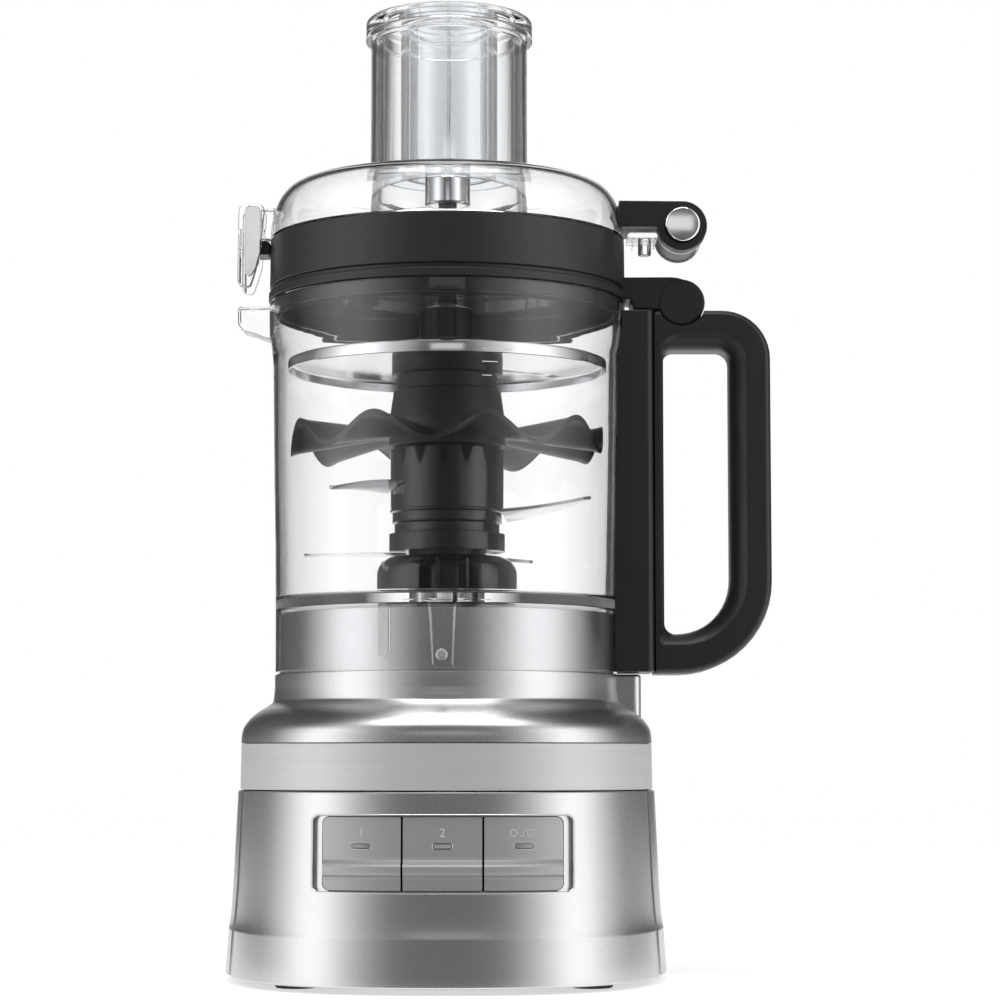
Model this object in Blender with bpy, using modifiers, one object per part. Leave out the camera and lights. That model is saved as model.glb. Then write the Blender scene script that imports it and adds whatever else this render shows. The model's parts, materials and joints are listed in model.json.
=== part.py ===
"""Upright food processor with a lift-off bowl, hinged lid, drive train and push buttons.

Heights are above the floor, X runs to the right and Y to the back. Every length is in metres,
and X and Y are measured from the drive axis, the vertical centre line of the bowl. One empty
puts that axis into the part's frame.
"""

import math

import bmesh
import bpy
from mathutils import Matrix, Vector

GAP = 0.0003
LARGE_ROUND, MEDIUM_ROUND, SMALL_ROUND = 36, 22, 12

# Base
BASE_HALF_WIDTH = 0.0990
BASE_TOP_HALF_WIDTH = 0.0949
BASE_DEPTH_RATIO = 1.12
BASE_CENTRE_Y = 0.014
PLAN_EXPONENT = 2.5
PLAN_POINTS = 40
BASE_BOTTOM = 0.003
PLINTH_TOP = 0.0235
BAND_BOTTOM = 0.085
BAND_TOP = 0.1057
SHELL = 0.0025
SEAM_Y = -0.033
NECK_RADIUS = 0.078
NECK_TOP = 0.1368
COLLAR_RADIUS = 0.0754
DECK_TOP = 0.164
TOWER_RIGHT = 0.0878
TOWER_HALF_DEPTH = 0.013
GLAND_Z = 0.042
GLAND_BACK_Y = 0.128

# Buttons
BUTTON_NAMES = ("low", "high", "pulse")
BUTTON_PITCH = 0.0343
BUTTON_HALF_WIDTH = 0.0168
BUTTON_LOW, BUTTON_HIGH = 0.0433, 0.0743
BEZEL_HALF_WIDTH = 0.0555
BEZEL_LOW, BEZEL_HIGH = 0.0425, 0.0750
BUTTON_BACK_Y = -0.0765
LENS_Z = 0.0620
LENS_SIZE = (0.0078, 0.0018)

# Drive train
MOTOR_Y = 0.062
DRIVE_PULLEY_RADIUS = 0.040
MOTOR_PULLEY_RADIUS = 0.009
PULLEY_LOW, PULLEY_HIGH = 0.009, 0.017
SHAFT_RADIUS = 0.005
SHAFT_TOP = 0.252
STATOR_RADIUS = 0.034
STATOR_LOW, STATOR_HIGH = 0.024, 0.078
ROTOR_RADIUS = 0.0164
MOTOR_SHAFT_RADIUS = 0.0032
HEXAGON_RADIUS = 0.0065
CHASSIS_LEVELS = (0.0184, 0.0210)
LOWER_BEARING = (0.0110, 0.0180, 0.0280)
UPPER_BEARING = (0.0137, 0.1580, 0.1656)

# Bowl and handle
BOWL_RIM = 0.3068
BOWL_FLOOR = 0.170
BOWL_SKIRT_BOTTOM = 0.1376
BOWL_TUBE_TOP = 0.236
HANDLE_RIGHT = 0.1473
HANDLE_TOP = 0.3025
HANDLE_BOTTOM = 0.1368
HANDLE_LEFT = 0.0938
HANDLE_HALF_DEPTH = 0.015
WINDOW = (0.0988, 0.1290, 0.155, 0.2847)
COLUMN_RIGHT = 0.0935
COLUMN_HALF_DEPTH = 0.020
ROD_X = 0.0843

# Tools on the drive
ADAPTER_RADIUS = 0.0175
HUB_BORE = 0.0178
HUB_RADIUS = 0.026
WHISK_RADIUS = 0.0715
WHISK_WAVES = 9
WHISK_SWING = 0.0062
DISC_RADIUS = 0.073

# Lid
HINGE_X, HINGE_Z = 0.107, 0.306
KNUCKLE_RADIUS = 0.010
RING_RADIUS = 0.0815
RING_TOP = 0.3358
DOME_FOOT = 0.3361
DOME_TOP = 0.370
DOME_WALL = 0.0024
TUBE_Y = 0.036
TUBE_RADIUS = 0.0372
TUBE_BORE = 0.0348
TUBE_TOP = 0.4377
LOCK_Z = 0.340
LATCH_X, LATCH_Z = -0.0885, 0.332
LATCH_HOLE = 0.0019

# The part's frame: its origin is under the middle of the whole object
DRIVE_AXIS = Vector((-(HANDLE_RIGHT - BASE_HALF_WIDTH) / 2, 0.0, 0.0))
BASE_FRONT_Y = BASE_CENTRE_Y - BASE_HALF_WIDTH * BASE_DEPTH_RATIO
DRIVE_AXIS.y = -(GLAND_BACK_Y + BASE_FRONT_Y) / 2

SILVER = ("satin_silver", (0.52, 0.52, 0.53), 0.38, 0.9)
BAND_METAL = ("brushed_band", (0.70, 0.70, 0.70), 0.30, 1.0)
BUTTON_GREY = ("button_grey", (0.42, 0.42, 0.43), 0.40, 0.6)
LENS_WHITE = ("lens_white", (0.85, 0.86, 0.88), 0.20, 0.0)
CLEAR = ("clear_plastic", (0.93, 0.94, 0.95), 0.05, 0.0)
BLACK = ("black_plastic", (0.02, 0.02, 0.02), 0.35, 0.0)
GLOSS_BLACK = ("gloss_black", (0.012, 0.012, 0.013), 0.12, 0.0)
CHROME = ("chrome", (0.80, 0.80, 0.81), 0.08, 1.0)
STEEL = ("steel", (0.62, 0.62, 0.63), 0.22, 1.0)
RUBBER = ("rubber", (0.03, 0.03, 0.03), 0.80, 0.0)
COPPER = ("copper_winding", (0.55, 0.26, 0.12), 0.40, 1.0)
BOARD = ("board_green", (0.03, 0.18, 0.08), 0.50, 0.0)


# ---------------------------------------------------------------- scene helpers


def new_collection(name, hidden=False):
    made = bpy.data.collections.new(name)
    bpy.context.scene.collection.children.link(made)
    made.hide_render = hidden
    return made


def finish_material(finish):
    name, colour, roughness, metallic = finish
    made = bpy.data.materials.get(name)
    if made is None:
        made = bpy.data.materials.new(name)
        made.use_nodes = True
        shader = made.node_tree.nodes["Principled BSDF"]
        shader.inputs["Base Color"].default_value = (*colour, 1.0)
        shader.inputs["Roughness"].default_value = roughness
        shader.inputs["Metallic"].default_value = metallic
        made.diffuse_color = (*colour, 1.0)
    return made


def new_empty(name, place, parent=None):
    """An empty at a place given from the drive axis."""
    made = bpy.data.objects.new(name, None)
    PARTS.objects.link(made)
    made.location = place
    if parent is not None:
        made.parent = parent
        made.matrix_parent_inverse = Matrix.Translation(-offset_of(parent))
    return made


def offset_of(empty):
    """Where an empty is, measured from the drive axis."""
    return Vector(empty.location) if empty is not AXIS else Vector()


def part(name, mesh, finish, body):
    """A piece of the object, its mesh given from the drive axis, on the empty of its body."""
    made = bpy.data.objects.new(name, mesh)
    PARTS.objects.link(made)
    mesh.materials.append(finish_material(finish))
    made.parent = body
    made.matrix_parent_inverse = Matrix.Translation(-offset_of(body))
    return made


def helper(name, mesh):
    """A cutter or a shape to be joined, left out of the object itself."""
    made = bpy.data.objects.new(name, mesh)
    HELPERS.objects.link(made)
    made.hide_render = True
    made.display_type = "WIRE"
    made.parent = AXIS
    return made


def boolean(target, operation, name, mesh):
    modifier = target.modifiers.new(name, "BOOLEAN")
    modifier.operation = operation
    modifier.solver = "EXACT"
    modifier.object = helper(f"{target.name}_{name}", mesh)


def cut(target, name, mesh):
    boolean(target, "DIFFERENCE", name, mesh)


def join(target, name, mesh):
    boolean(target, "UNION", name, mesh)


def keep(target, name, mesh):
    boolean(target, "INTERSECT", name, mesh)


def bevel(target, width, segments=2, degrees=35):
    modifier = target.modifiers.new("rounded_edges", "BEVEL")
    modifier.width = width
    modifier.segments = segments
    modifier.limit_method = "ANGLE"
    modifier.angle_limit = math.radians(degrees)
    modifier.use_clamp_overlap = True


# ---------------------------------------------------------------- mesh makers


def mesh_of(name, shape):
    bmesh.ops.recalc_face_normals(shape, faces=shape.faces)
    made = bpy.data.meshes.new(name)
    shape.to_mesh(made)
    shape.free()
    return made


def evaluated_mesh(made, name):
    """The object's evaluated mesh with loose ends welded, and the object removed."""
    bpy.context.scene.collection.objects.link(made)
    graph = bpy.context.evaluated_depsgraph_get()
    mesh = bpy.data.meshes.new_from_object(made.evaluated_get(graph))
    data = made.data
    bpy.data.objects.remove(made)
    if isinstance(data, bpy.types.Curve):
        bpy.data.curves.remove(data)
    else:
        bpy.data.meshes.remove(data)
    shape = bmesh.new()
    shape.from_mesh(mesh)
    bmesh.ops.remove_doubles(shape, verts=shape.verts, dist=1e-6)
    bpy.data.meshes.remove(mesh)
    return mesh_of(name, shape)


def box(name, low, high):
    shape = bmesh.new()
    bmesh.ops.create_cube(shape, size=1.0)
    low, high = Vector(low), Vector(high)
    bmesh.ops.scale(shape, vec=high - low, verts=shape.verts)
    bmesh.ops.translate(shape, vec=(low + high) / 2, verts=shape.verts)
    return mesh_of(name, shape)


def rod(name, start, end, radius, segments=SMALL_ROUND):
    """A cylinder between two points."""
    shape = bmesh.new()
    start, end = Vector(start), Vector(end)
    turn = (end - start).to_track_quat("Z", "Y").to_matrix().to_4x4()
    bmesh.ops.create_cone(
        shape,
        cap_ends=True,
        segments=segments,
        radius1=radius,
        radius2=radius,
        depth=(end - start).length,
        matrix=Matrix.Translation((start + end) / 2) @ turn,
    )
    return mesh_of(name, shape)


def across(name, x, z, radius, segments=MEDIUM_ROUND, reach=0.05):
    """A cylinder that lies front to back, reaching as far to each side of the axis."""
    return rod(name, (x, -reach, z), (x, reach, z), radius, segments)


def turned(name, profile, segments=LARGE_ROUND, centre=(0.0, 0.0), tilt=None):
    """A profile of (radius, height) points turned round a vertical axis, or round tilt's Z axis."""
    area = 0.0
    for (r0, z0), (r1, z1) in zip(profile, profile[1:] + profile[:1]):
        area += r0 * z1 - r1 * z0
    points = list(profile) if area < 0 else list(profile)[::-1]
    on_axis = [index for index, (radius, _) in enumerate(points) if radius == 0.0]
    if on_axis:
        # The stretch along the axis is left open, so that the profile runs from axis to axis.
        first = next(i for i in on_axis if points[i - 1][0] == 0.0)
        points = points[first:] + points[:first]
    mesh = bpy.data.meshes.new(name)
    edges = [(i, i + 1) for i in range(len(points) - 1)]
    if not on_axis:
        edges.append((len(points) - 1, 0))
    mesh.from_pydata([(radius, 0.0, height) for radius, height in points], edges, [])
    made = bpy.data.objects.new(name, mesh)
    screw = made.modifiers.new("turn", "SCREW")
    screw.steps = screw.render_steps = segments
    screw.use_merge_vertices = True
    screw.merge_threshold = 1e-6
    result = evaluated_mesh(made, name)
    if tilt is not None:
        result.transform(tilt)
    result.transform(Matrix.Translation((centre[0], centre[1], 0.0)))
    return result


def prism(name, outlines, low, high, plane="XY"):
    """Flat outlines, the later ones holes, drawn out from low to high across their plane."""
    curve = bpy.data.curves.new(name, "CURVE")
    curve.dimensions = "2D"
    curve.fill_mode = "BOTH"
    curve.extrude = (high - low) / 2
    for outline in outlines:
        spline = curve.splines.new("POLY")
        spline.points.add(len(outline) - 1)
        for point, (across, up) in zip(spline.points, outline):
            point.co = (across, up, 0.0, 1.0)
        spline.use_cyclic_u = True
    mesh = evaluated_mesh(bpy.data.objects.new(name, curve), name)
    middle = (low + high) / 2
    if plane == "XZ":
        mesh.transform(Matrix.Translation((0.0, middle, 0.0)) @ Matrix.Rotation(math.pi / 2, 4, "X"))
    else:
        mesh.transform(Matrix.Translation((0.0, 0.0, middle)))
    return mesh


def loft(name, rings, ends="capped"):
    """Faces between rings of matching points, with ends capped, open or joined to each other."""
    shape = bmesh.new()
    rows = [[shape.verts.new(point) for point in ring] for ring in rings]
    if ends == "joined":
        rows.append(rows[0])
    count = len(rings[0])
    for below, above in zip(rows, rows[1:]):
        for index in range(count):
            after = (index + 1) % count
            shape.faces.new((below[index], below[after], above[after], above[index]))
    if ends == "capped":
        shape.faces.new(rows[0][::-1])
        shape.faces.new(rows[-1])
    return mesh_of(name, shape)


def rounded(corners, step=math.radians(15)):
    """A closed outline through corners given as (x, y, radius), each radius an arc."""
    outline = []
    count = len(corners)
    for index, (x, y, radius) in enumerate(corners):
        here = Vector((x, y))
        if radius == 0.0:
            outline.append(tuple(here))
            continue
        back = (Vector(corners[index - 1][:2]) - here).normalized()
        ahead = (Vector(corners[(index + 1) % count][:2]) - here).normalized()
        half = back.angle(ahead) / 2
        centre = here + (back + ahead).normalized() * (radius / math.sin(half))
        first = here + back * (radius / math.tan(half)) - centre
        last = here + ahead * (radius / math.tan(half)) - centre
        turn = math.copysign(math.pi - 2 * half, first.cross(last))
        steps = max(1, math.ceil(abs(turn) / step))
        for stop in range(steps + 1):
            angle = turn * stop / steps
            outline.append(
                (
                    centre.x + first.x * math.cos(angle) - first.y * math.sin(angle),
                    centre.y + first.x * math.sin(angle) + first.y * math.cos(angle),
                )
            )
    return outline


def arc(centre, radius, start, end, steps):
    """Points on an arc, with angles in degrees."""
    return [
        (
            centre[0] + radius * math.cos(math.radians(start + (end - start) * i / steps)),
            centre[1] + radius * math.sin(math.radians(start + (end - start) * i / steps)),
        )
        for i in range(steps + 1)
    ]


# ---------------------------------------------------------------- base


def plan_ring(z, half_width, roundness=0.0):
    """The base's plan at a height: a squared oval, or a circle on the drive axis at roundness 1."""
    ring = []
    for index in range(PLAN_POINTS):
        angle = 2 * math.pi * index / PLAN_POINTS
        cos, sin = math.cos(angle), math.sin(angle)
        power = 2 / PLAN_EXPONENT
        x = half_width * math.copysign(abs(cos) ** power, cos)
        y = BASE_CENTRE_Y + half_width * BASE_DEPTH_RATIO * math.copysign(abs(sin) ** power, sin)
        ring.append(
            Vector((x, y, z)).lerp(Vector((half_width * cos, half_width * sin, z)), roundness)
        )
    return ring


def side_half_width(z):
    """Half the base's width: its sides lean in a little, and are hollowed above the plinth."""
    share = (z - BASE_BOTTOM) / (BAND_BOTTOM - BASE_BOTTOM)
    width = BASE_HALF_WIDTH + (BASE_TOP_HALF_WIDTH - BASE_HALF_WIDTH) * share
    if z <= PLINTH_TOP:
        return width
    hollow = (BAND_BOTTOM - z) / (BAND_BOTTOM - PLINTH_TOP)
    return width - 0.0012 * min(1.0, 1.6 * hollow)


def side_levels(low, high):
    """Heights of the housing's rings, closer at the plinth's edge."""
    levels = [low, 0.012, PLINTH_TOP, PLINTH_TOP + 0.001, 0.036, 0.052, 0.068, high]
    return [z for z in levels if low <= z <= high]


def side_solid(name, inset, low, high):
    """The whole inside of the housing at an inset from its outer face."""
    return loft(name, [plan_ring(z, side_half_width(z) - inset) for z in side_levels(low, high)])


def open_shell(name, rings, finish, body, wall=SHELL):
    """Rings lofted into a shell that is open at both ends."""
    made = part(name, loft(name, rings, "open"), finish, body)
    thicken = made.modifiers.new("wall", "SOLIDIFY")
    thicken.thickness = wall
    thicken.offset = -1.0
    thicken.use_even_offset = True
    return made


def add_housing(root):
    top = BAND_BOTTOM - GAP
    rings = [plan_ring(z, side_half_width(z)) for z in side_levels(BASE_BOTTOM, top)]
    front = open_shell("front_housing", rings, SILVER, root)
    cut(front, "rear_half", box("rear_half", (-0.2, SEAM_Y - GAP, -0.1), (0.2, 0.3, 0.2)))
    opening = box(
        "button_opening",
        (-BEZEL_HALF_WIDTH, -0.15, BEZEL_LOW),
        (BEZEL_HALF_WIDTH, -0.05, BEZEL_HIGH),
    )
    cut(front, "button_opening", opening)
    rear = open_shell("rear_housing", rings, SILVER, root)
    cut(rear, "front_half", box("front_half", (-0.2, -0.3, -0.1), (0.2, SEAM_Y + GAP, 0.2)))
    cut(rear, "cord_hole", rod("cord_hole", (0, 0.05, GLAND_Z), (0, 0.15, GLAND_Z), 0.0070))


def add_band(root):
    half = (BASE_TOP_HALF_WIDTH - 0.0003, BASE_TOP_HALF_WIDTH - 0.0006)
    rings = [plan_ring(BAND_BOTTOM + GAP, half[0]), plan_ring(BAND_TOP - GAP, half[1])]
    open_shell("trim_band", rings, BAND_METAL, root, wall=0.003)


def add_top_cover(root):
    """Shoulder, neck and the collar inside the bowl's skirt, with a hole for the shaft."""
    outside = (
        (BAND_TOP, 0.0944, 0.0),
        (0.1095, 0.0943, 0.0),
        (0.1125, 0.0936, 0.03),
        (0.1152, 0.0920, 0.10),
        (0.1180, 0.0896, 0.22),
        (0.1205, 0.0864, 0.45),
        (0.1225, 0.0825, 0.70),
        (0.1240, 0.0796, 0.90),
        (0.1256, NECK_RADIUS + 0.0003, 1.0),
        (NECK_TOP - 0.001, NECK_RADIUS, 1.0),
        (NECK_TOP, NECK_RADIUS - 0.001, 1.0),
        (NECK_TOP, COLLAR_RADIUS, 1.0),
        (DECK_TOP - 0.003, COLLAR_RADIUS - 0.0003, 1.0),
        (DECK_TOP, COLLAR_RADIUS - 0.003, 1.0),
        (DECK_TOP, 0.014, 1.0),
    )
    inside = (
        (DECK_TOP - SHELL, 0.014, 1.0),
        (DECK_TOP - SHELL, COLLAR_RADIUS - 0.0045, 1.0),
        (NECK_TOP - SHELL, COLLAR_RADIUS - SHELL, 1.0),
        (NECK_TOP - SHELL, NECK_RADIUS - SHELL, 1.0),
        (0.1248, NECK_RADIUS - SHELL, 1.0),
        (0.1190, 0.0835, 0.45),
        (0.1100, 0.0914, 0.0),
        (BAND_TOP, 0.0918, 0.0),
    )
    rings = [plan_ring(z, half, roundness) for z, half, roundness in outside + inside]
    cover = part("top_cover", loft("top_cover", rings, "joined"), SILVER, root)
    tower = box(
        "tower", (0.0745, -TOWER_HALF_DEPTH, 0.112), (TOWER_RIGHT, TOWER_HALF_DEPTH, NECK_TOP - 0.0002)
    )
    join(cover, "interlock_tower", tower)
    well = box("well", (ROD_X - 0.0020, -0.0020, 0.10), (ROD_X + 0.0020, 0.0020, 0.15))
    cut(cover, "rod_well", well)


def add_bottom(root):
    plate = loft(
        "bottom_plate",
        [plan_ring(z, side_half_width(z) - 0.0032) for z in (BASE_BOTTOM + 0.0006, 0.0066)],
    )
    part("bottom_plate", plate, BLACK, root)
    places = [(x, y) for y in (-0.052, 0.080) for x in (-0.064, 0.064)]
    for number, place in enumerate(places, start=1):
        profile = [
            (0.0, BASE_BOTTOM + GAP),
            (0.0085, BASE_BOTTOM + GAP),
            (0.0095, 0.0012),
            (0.0085, 0.0),
            (0.0, 0.0),
        ]
        foot = turned(f"rubber_foot_{number}", profile, SMALL_ROUND, place)
        part(f"rubber_foot_{number}", foot, RUBBER, root)


def add_cord_gland(root):
    """A bush in the rear wall with the hole that the lead would come out of."""
    lay = Matrix.Translation((0, 0, GLAND_Z)) @ Matrix.Rotation(-math.pi / 2, 4, "X")
    back = GLAND_BACK_Y
    profile = [
        (0.0062, back - 0.012),
        (0.0062, back - 0.0056),
        (0.0092, back - 0.0056),
        (0.0092, back - 0.002),
        (0.0066, back),
        (0.0036, back),
        (0.0036, back - 0.012),
    ]
    part("cord_gland", turned("cord_gland", profile, SMALL_ROUND, tilt=lay), RUBBER, root)


def button_levels(extra=0.0):
    """(height, inset) of the button's face: flat above, with a grip ridge across its lower third."""
    levels = (
        (BUTTON_LOW, 0.0010),
        (0.0475, 0.0014),
        (0.0492, 0.0006),
        (0.0512, -0.0016),
        (0.0530, -0.0018),
        (0.0548, -0.0004),
        (0.0562, 0.0014),
        (0.0650, 0.0014),
        (BUTTON_HIGH, 0.0010),
    )
    return [(z, inset + extra) for z, inset in levels]


def add_buttons(root, bodies):
    bezel = part(
        "button_bezel",
        box(
            "button_bezel",
            (-BEZEL_HALF_WIDTH + GAP, -0.12, BEZEL_LOW + GAP),
            (BEZEL_HALF_WIDTH - GAP, BUTTON_BACK_Y, BEZEL_HIGH - GAP),
        ),
        SILVER,
        root,
    )
    keep(bezel, "face", side_solid("bezel_face", 0.0020, 0.012, 0.084))
    for index, name in enumerate(BUTTON_NAMES):
        middle = (index - 1) * BUTTON_PITCH
        left, right = middle - BUTTON_HALF_WIDTH, middle + BUTTON_HALF_WIDTH
        pocket = box(
            "pocket", (left - GAP, -0.15, BUTTON_LOW - GAP), (right + GAP, -0.05, BUTTON_HIGH + GAP)
        )
        cut(bezel, f"pocket_{name}", pocket)
        body = bodies[name]
        button = part(
            f"{name}_button",
            box(name, (left, -0.12, BUTTON_LOW), (right, BUTTON_BACK_Y - 0.002, BUTTON_HIGH)),
            BUTTON_GREY,
            body,
        )
        face = [plan_ring(z, side_half_width(z) - inset) for z, inset in button_levels()]
        keep(button, "face", loft("face", [plan_ring(0.04, 0.096)] + face + [plan_ring(0.078, 0.094)]))
        half_x, half_z = LENS_SIZE[0] / 2, LENS_SIZE[1] / 2
        slot = box(
            "slot",
            (middle - half_x - GAP, -0.15, LENS_Z - half_z - GAP),
            (middle + half_x + GAP, -0.0852, LENS_Z + half_z + GAP),
        )
        cut(button, "lens_slot", slot)
        lens_box = box(
            "lens",
            (middle - half_x, -0.12, LENS_Z - half_z),
            (middle + half_x, -0.0855, LENS_Z + half_z),
        )
        lens = part(f"{name}_indicator_lens", lens_box, LENS_WHITE, body)
        keep(lens, "face", side_solid("lens_face", 0.0022, 0.012, 0.084))


def add_control_board(root):
    board_box = box("board", (-0.047, -0.0712, 0.038), (0.047, -0.0696, 0.080))
    board = part("control_board", board_box, BOARD, root)
    for index, name in enumerate(BUTTON_NAMES):
        middle = (index - 1) * BUTTON_PITCH
        switch = box("switch", (middle - 0.003, -0.0742, 0.056), (middle + 0.003, -0.0705, 0.062))
        join(board, f"{name}_contact", switch)
    switch_box = box("interlock_switch", (0.070, -0.010, 0.096), (0.0835, 0.010, 0.106))
    part("interlock_switch", switch_box, BLACK, root)


# ---------------------------------------------------------------- drive train


def belt_outline(clearance):
    """The line that a belt takes round both pulleys, at a clearance from them."""
    big, small = DRIVE_PULLEY_RADIUS + clearance, MOTOR_PULLEY_RADIUS + clearance
    lean = math.degrees(math.asin((big - small) / MOTOR_Y))
    return arc((0, 0), big, 180 - lean, 360 + lean, 20) + arc((0, MOTOR_Y), small, lean, 180 - lean, 6)


def add_chassis(root):
    """The plate that carries the motor, on four posts, and the shaft's two bearings."""
    corners = [(-0.052, -0.044), (0.052, -0.044), (0.052, 0.100), (-0.052, 0.100)]
    outlines = [
        rounded([(x, y, 0.010) for x, y in corners]),
        arc((0, 0), LOWER_BEARING[0] + GAP, 0, 345, 23),
        arc((0, MOTOR_Y), 0.0045, 0, 337.5, 15),
    ]
    plate = prism("chassis", outlines, *CHASSIS_LEVELS)
    chassis = part("chassis_plate", plate, STEEL, root)
    for number, (x, y) in enumerate(corners):
        x -= math.copysign(0.007, x)
        y -= math.copysign(0.007, y)
        join(chassis, f"post_{number}", rod("post", (x, y, 0.0069), (x, y, 0.0190), 0.004))
    bore = SHAFT_RADIUS + GAP
    bearings = {"lower_bearing": LOWER_BEARING, "upper_bearing": UPPER_BEARING}
    for name, (outer, low, high) in bearings.items():
        profile = [(outer, high), (outer, low), (bore, low), (bore, high)]
        part(name, turned(name, profile, SMALL_ROUND), STEEL, root)


def add_drive(drive, root):
    """The belt, and the big pulley with the shaft that turns the tools."""
    belt = prism("belt", [belt_outline(0.0019), belt_outline(GAP)], 0.0105, 0.0155)
    part("drive_belt", belt, RUBBER, root)
    pulley = [
        (DRIVE_PULLEY_RADIUS, PULLEY_HIGH),
        (DRIVE_PULLEY_RADIUS, PULLEY_LOW),
        (0.034, PULLEY_LOW),
        (0.034, 0.0125),
        (0.012, 0.0125),
        (0.012, PULLEY_LOW),
        (SHAFT_RADIUS + GAP, PULLEY_LOW),
        (SHAFT_RADIUS + GAP, PULLEY_HIGH),
    ]
    part("drive_pulley", turned("drive_pulley", pulley, MEDIUM_ROUND), BLACK, drive)
    shaft = part(
        "drive_shaft",
        rod("drive_shaft", (0, 0, 0.0074), (0, 0, BOWL_TUBE_TOP + 0.002), SHAFT_RADIUS),
        STEEL,
        drive,
    )
    hexagon = rod("hexagon", (0, 0, BOWL_TUBE_TOP), (0, 0, SHAFT_TOP), HEXAGON_RADIUS, 6)
    join(shaft, "hexagon", hexagon)


def add_motor(motor, root):
    bore = MOTOR_SHAFT_RADIUS + GAP
    small = [
        (MOTOR_PULLEY_RADIUS, PULLEY_HIGH),
        (MOTOR_PULLEY_RADIUS, PULLEY_LOW),
        (bore, PULLEY_LOW),
        (bore, PULLEY_HIGH),
    ]
    part("motor_pulley", turned("motor_pulley", small, SMALL_ROUND, (0, MOTOR_Y)), STEEL, motor)
    rotor = [
        (0.0, 0.093),
        (MOTOR_SHAFT_RADIUS, 0.093),
        (MOTOR_SHAFT_RADIUS, 0.072),
        (ROTOR_RADIUS, 0.072),
        (ROTOR_RADIUS, 0.030),
        (MOTOR_SHAFT_RADIUS, 0.030),
        (MOTOR_SHAFT_RADIUS, 0.0074),
        (0.0, 0.0074),
    ]
    part("motor_rotor", turned("motor_rotor", rotor, SMALL_ROUND, (0, MOTOR_Y)), STEEL, motor)
    fan_profile = [
        (0.026, 0.0835),
        (0.026, 0.0820),
        (bore, 0.0820),
        (bore, 0.0895),
        (0.007, 0.0895),
        (0.007, 0.0835),
    ]
    fan_mesh = turned("cooling_fan", fan_profile, SMALL_ROUND, (0, MOTOR_Y))
    fan = part("cooling_fan", fan_mesh, BLACK, motor)
    for number in range(6):
        turn = Matrix.Translation((0, MOTOR_Y, 0)) @ Matrix.Rotation(number * math.pi / 3, 4, "Z")
        blade = box("fan_blade", (0.0062, -0.0006, 0.0826), (0.0255, 0.0006, 0.0890))
        blade.transform(turn)
        join(fan, f"blade_{number}", blade)
    stator = [
        (STATOR_RADIUS, STATOR_HIGH),
        (STATOR_RADIUS, STATOR_LOW),
        (ROTOR_RADIUS + 0.0008, STATOR_LOW),
        (ROTOR_RADIUS + 0.0008, STATOR_HIGH),
    ]
    stator_mesh = turned("motor_stator", stator, MEDIUM_ROUND, (0, MOTOR_Y))
    stator_part = part("motor_stator", stator_mesh, COPPER, root)
    for side, left in (("left", -0.030), ("right", 0.022)):
        low = (left, MOTOR_Y - 0.030, CHASSIS_LEVELS[1] + GAP)
        high = (left + 0.008, MOTOR_Y + 0.010, 0.030)
        join(stator_part, f"{side}_mount", box("mount", low, high))


# ---------------------------------------------------------------- bowl


def bowl_outside(grow=0.0):
    """The outer side of the bowl, from its rim down."""
    return [
        (0.0816 + grow, BOWL_RIM + grow),
        (0.0816 + grow, 0.2960),
        (0.0798 + grow, 0.2790),
        (0.0793 + grow, 0.2420),
        (0.0784 + grow, 0.1970),
        (0.0780 + grow, 0.1660),
        (0.0779 + grow, BOWL_SKIRT_BOTTOM - grow),
    ]


def add_bowl(body):
    inside = [
        (0.0762, BOWL_SKIRT_BOTTOM),
        (0.0762, 0.1660),
        (0.0120, 0.1660),
        (0.0120, BOWL_TUBE_TOP),
        (0.0140, BOWL_TUBE_TOP),
        (0.0140, BOWL_FLOOR),
        (0.0700, BOWL_FLOOR),
        (0.0742, 0.1716),
        (0.0759, 0.1756),
        (0.0764, 0.1970),
        (0.0773, 0.2420),
        (0.0778, 0.2790),
        (0.0794, 0.2960),
        (0.0794, BOWL_RIM),
    ]
    bowl = part("bowl", turned("bowl", bowl_outside() + inside, LARGE_ROUND), CLEAR, body)
    lug = [
        (-0.0804, 0.3050, 0),
        (-0.0957, 0.3050, 0.0008),
        (-0.0957, 0.2920, 0.006),
        (-0.0804, 0.2895, 0),
    ]
    join(bowl, "pull_lug", prism("lug", [rounded(lug)], -0.009, 0.009, "XZ"))


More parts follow.
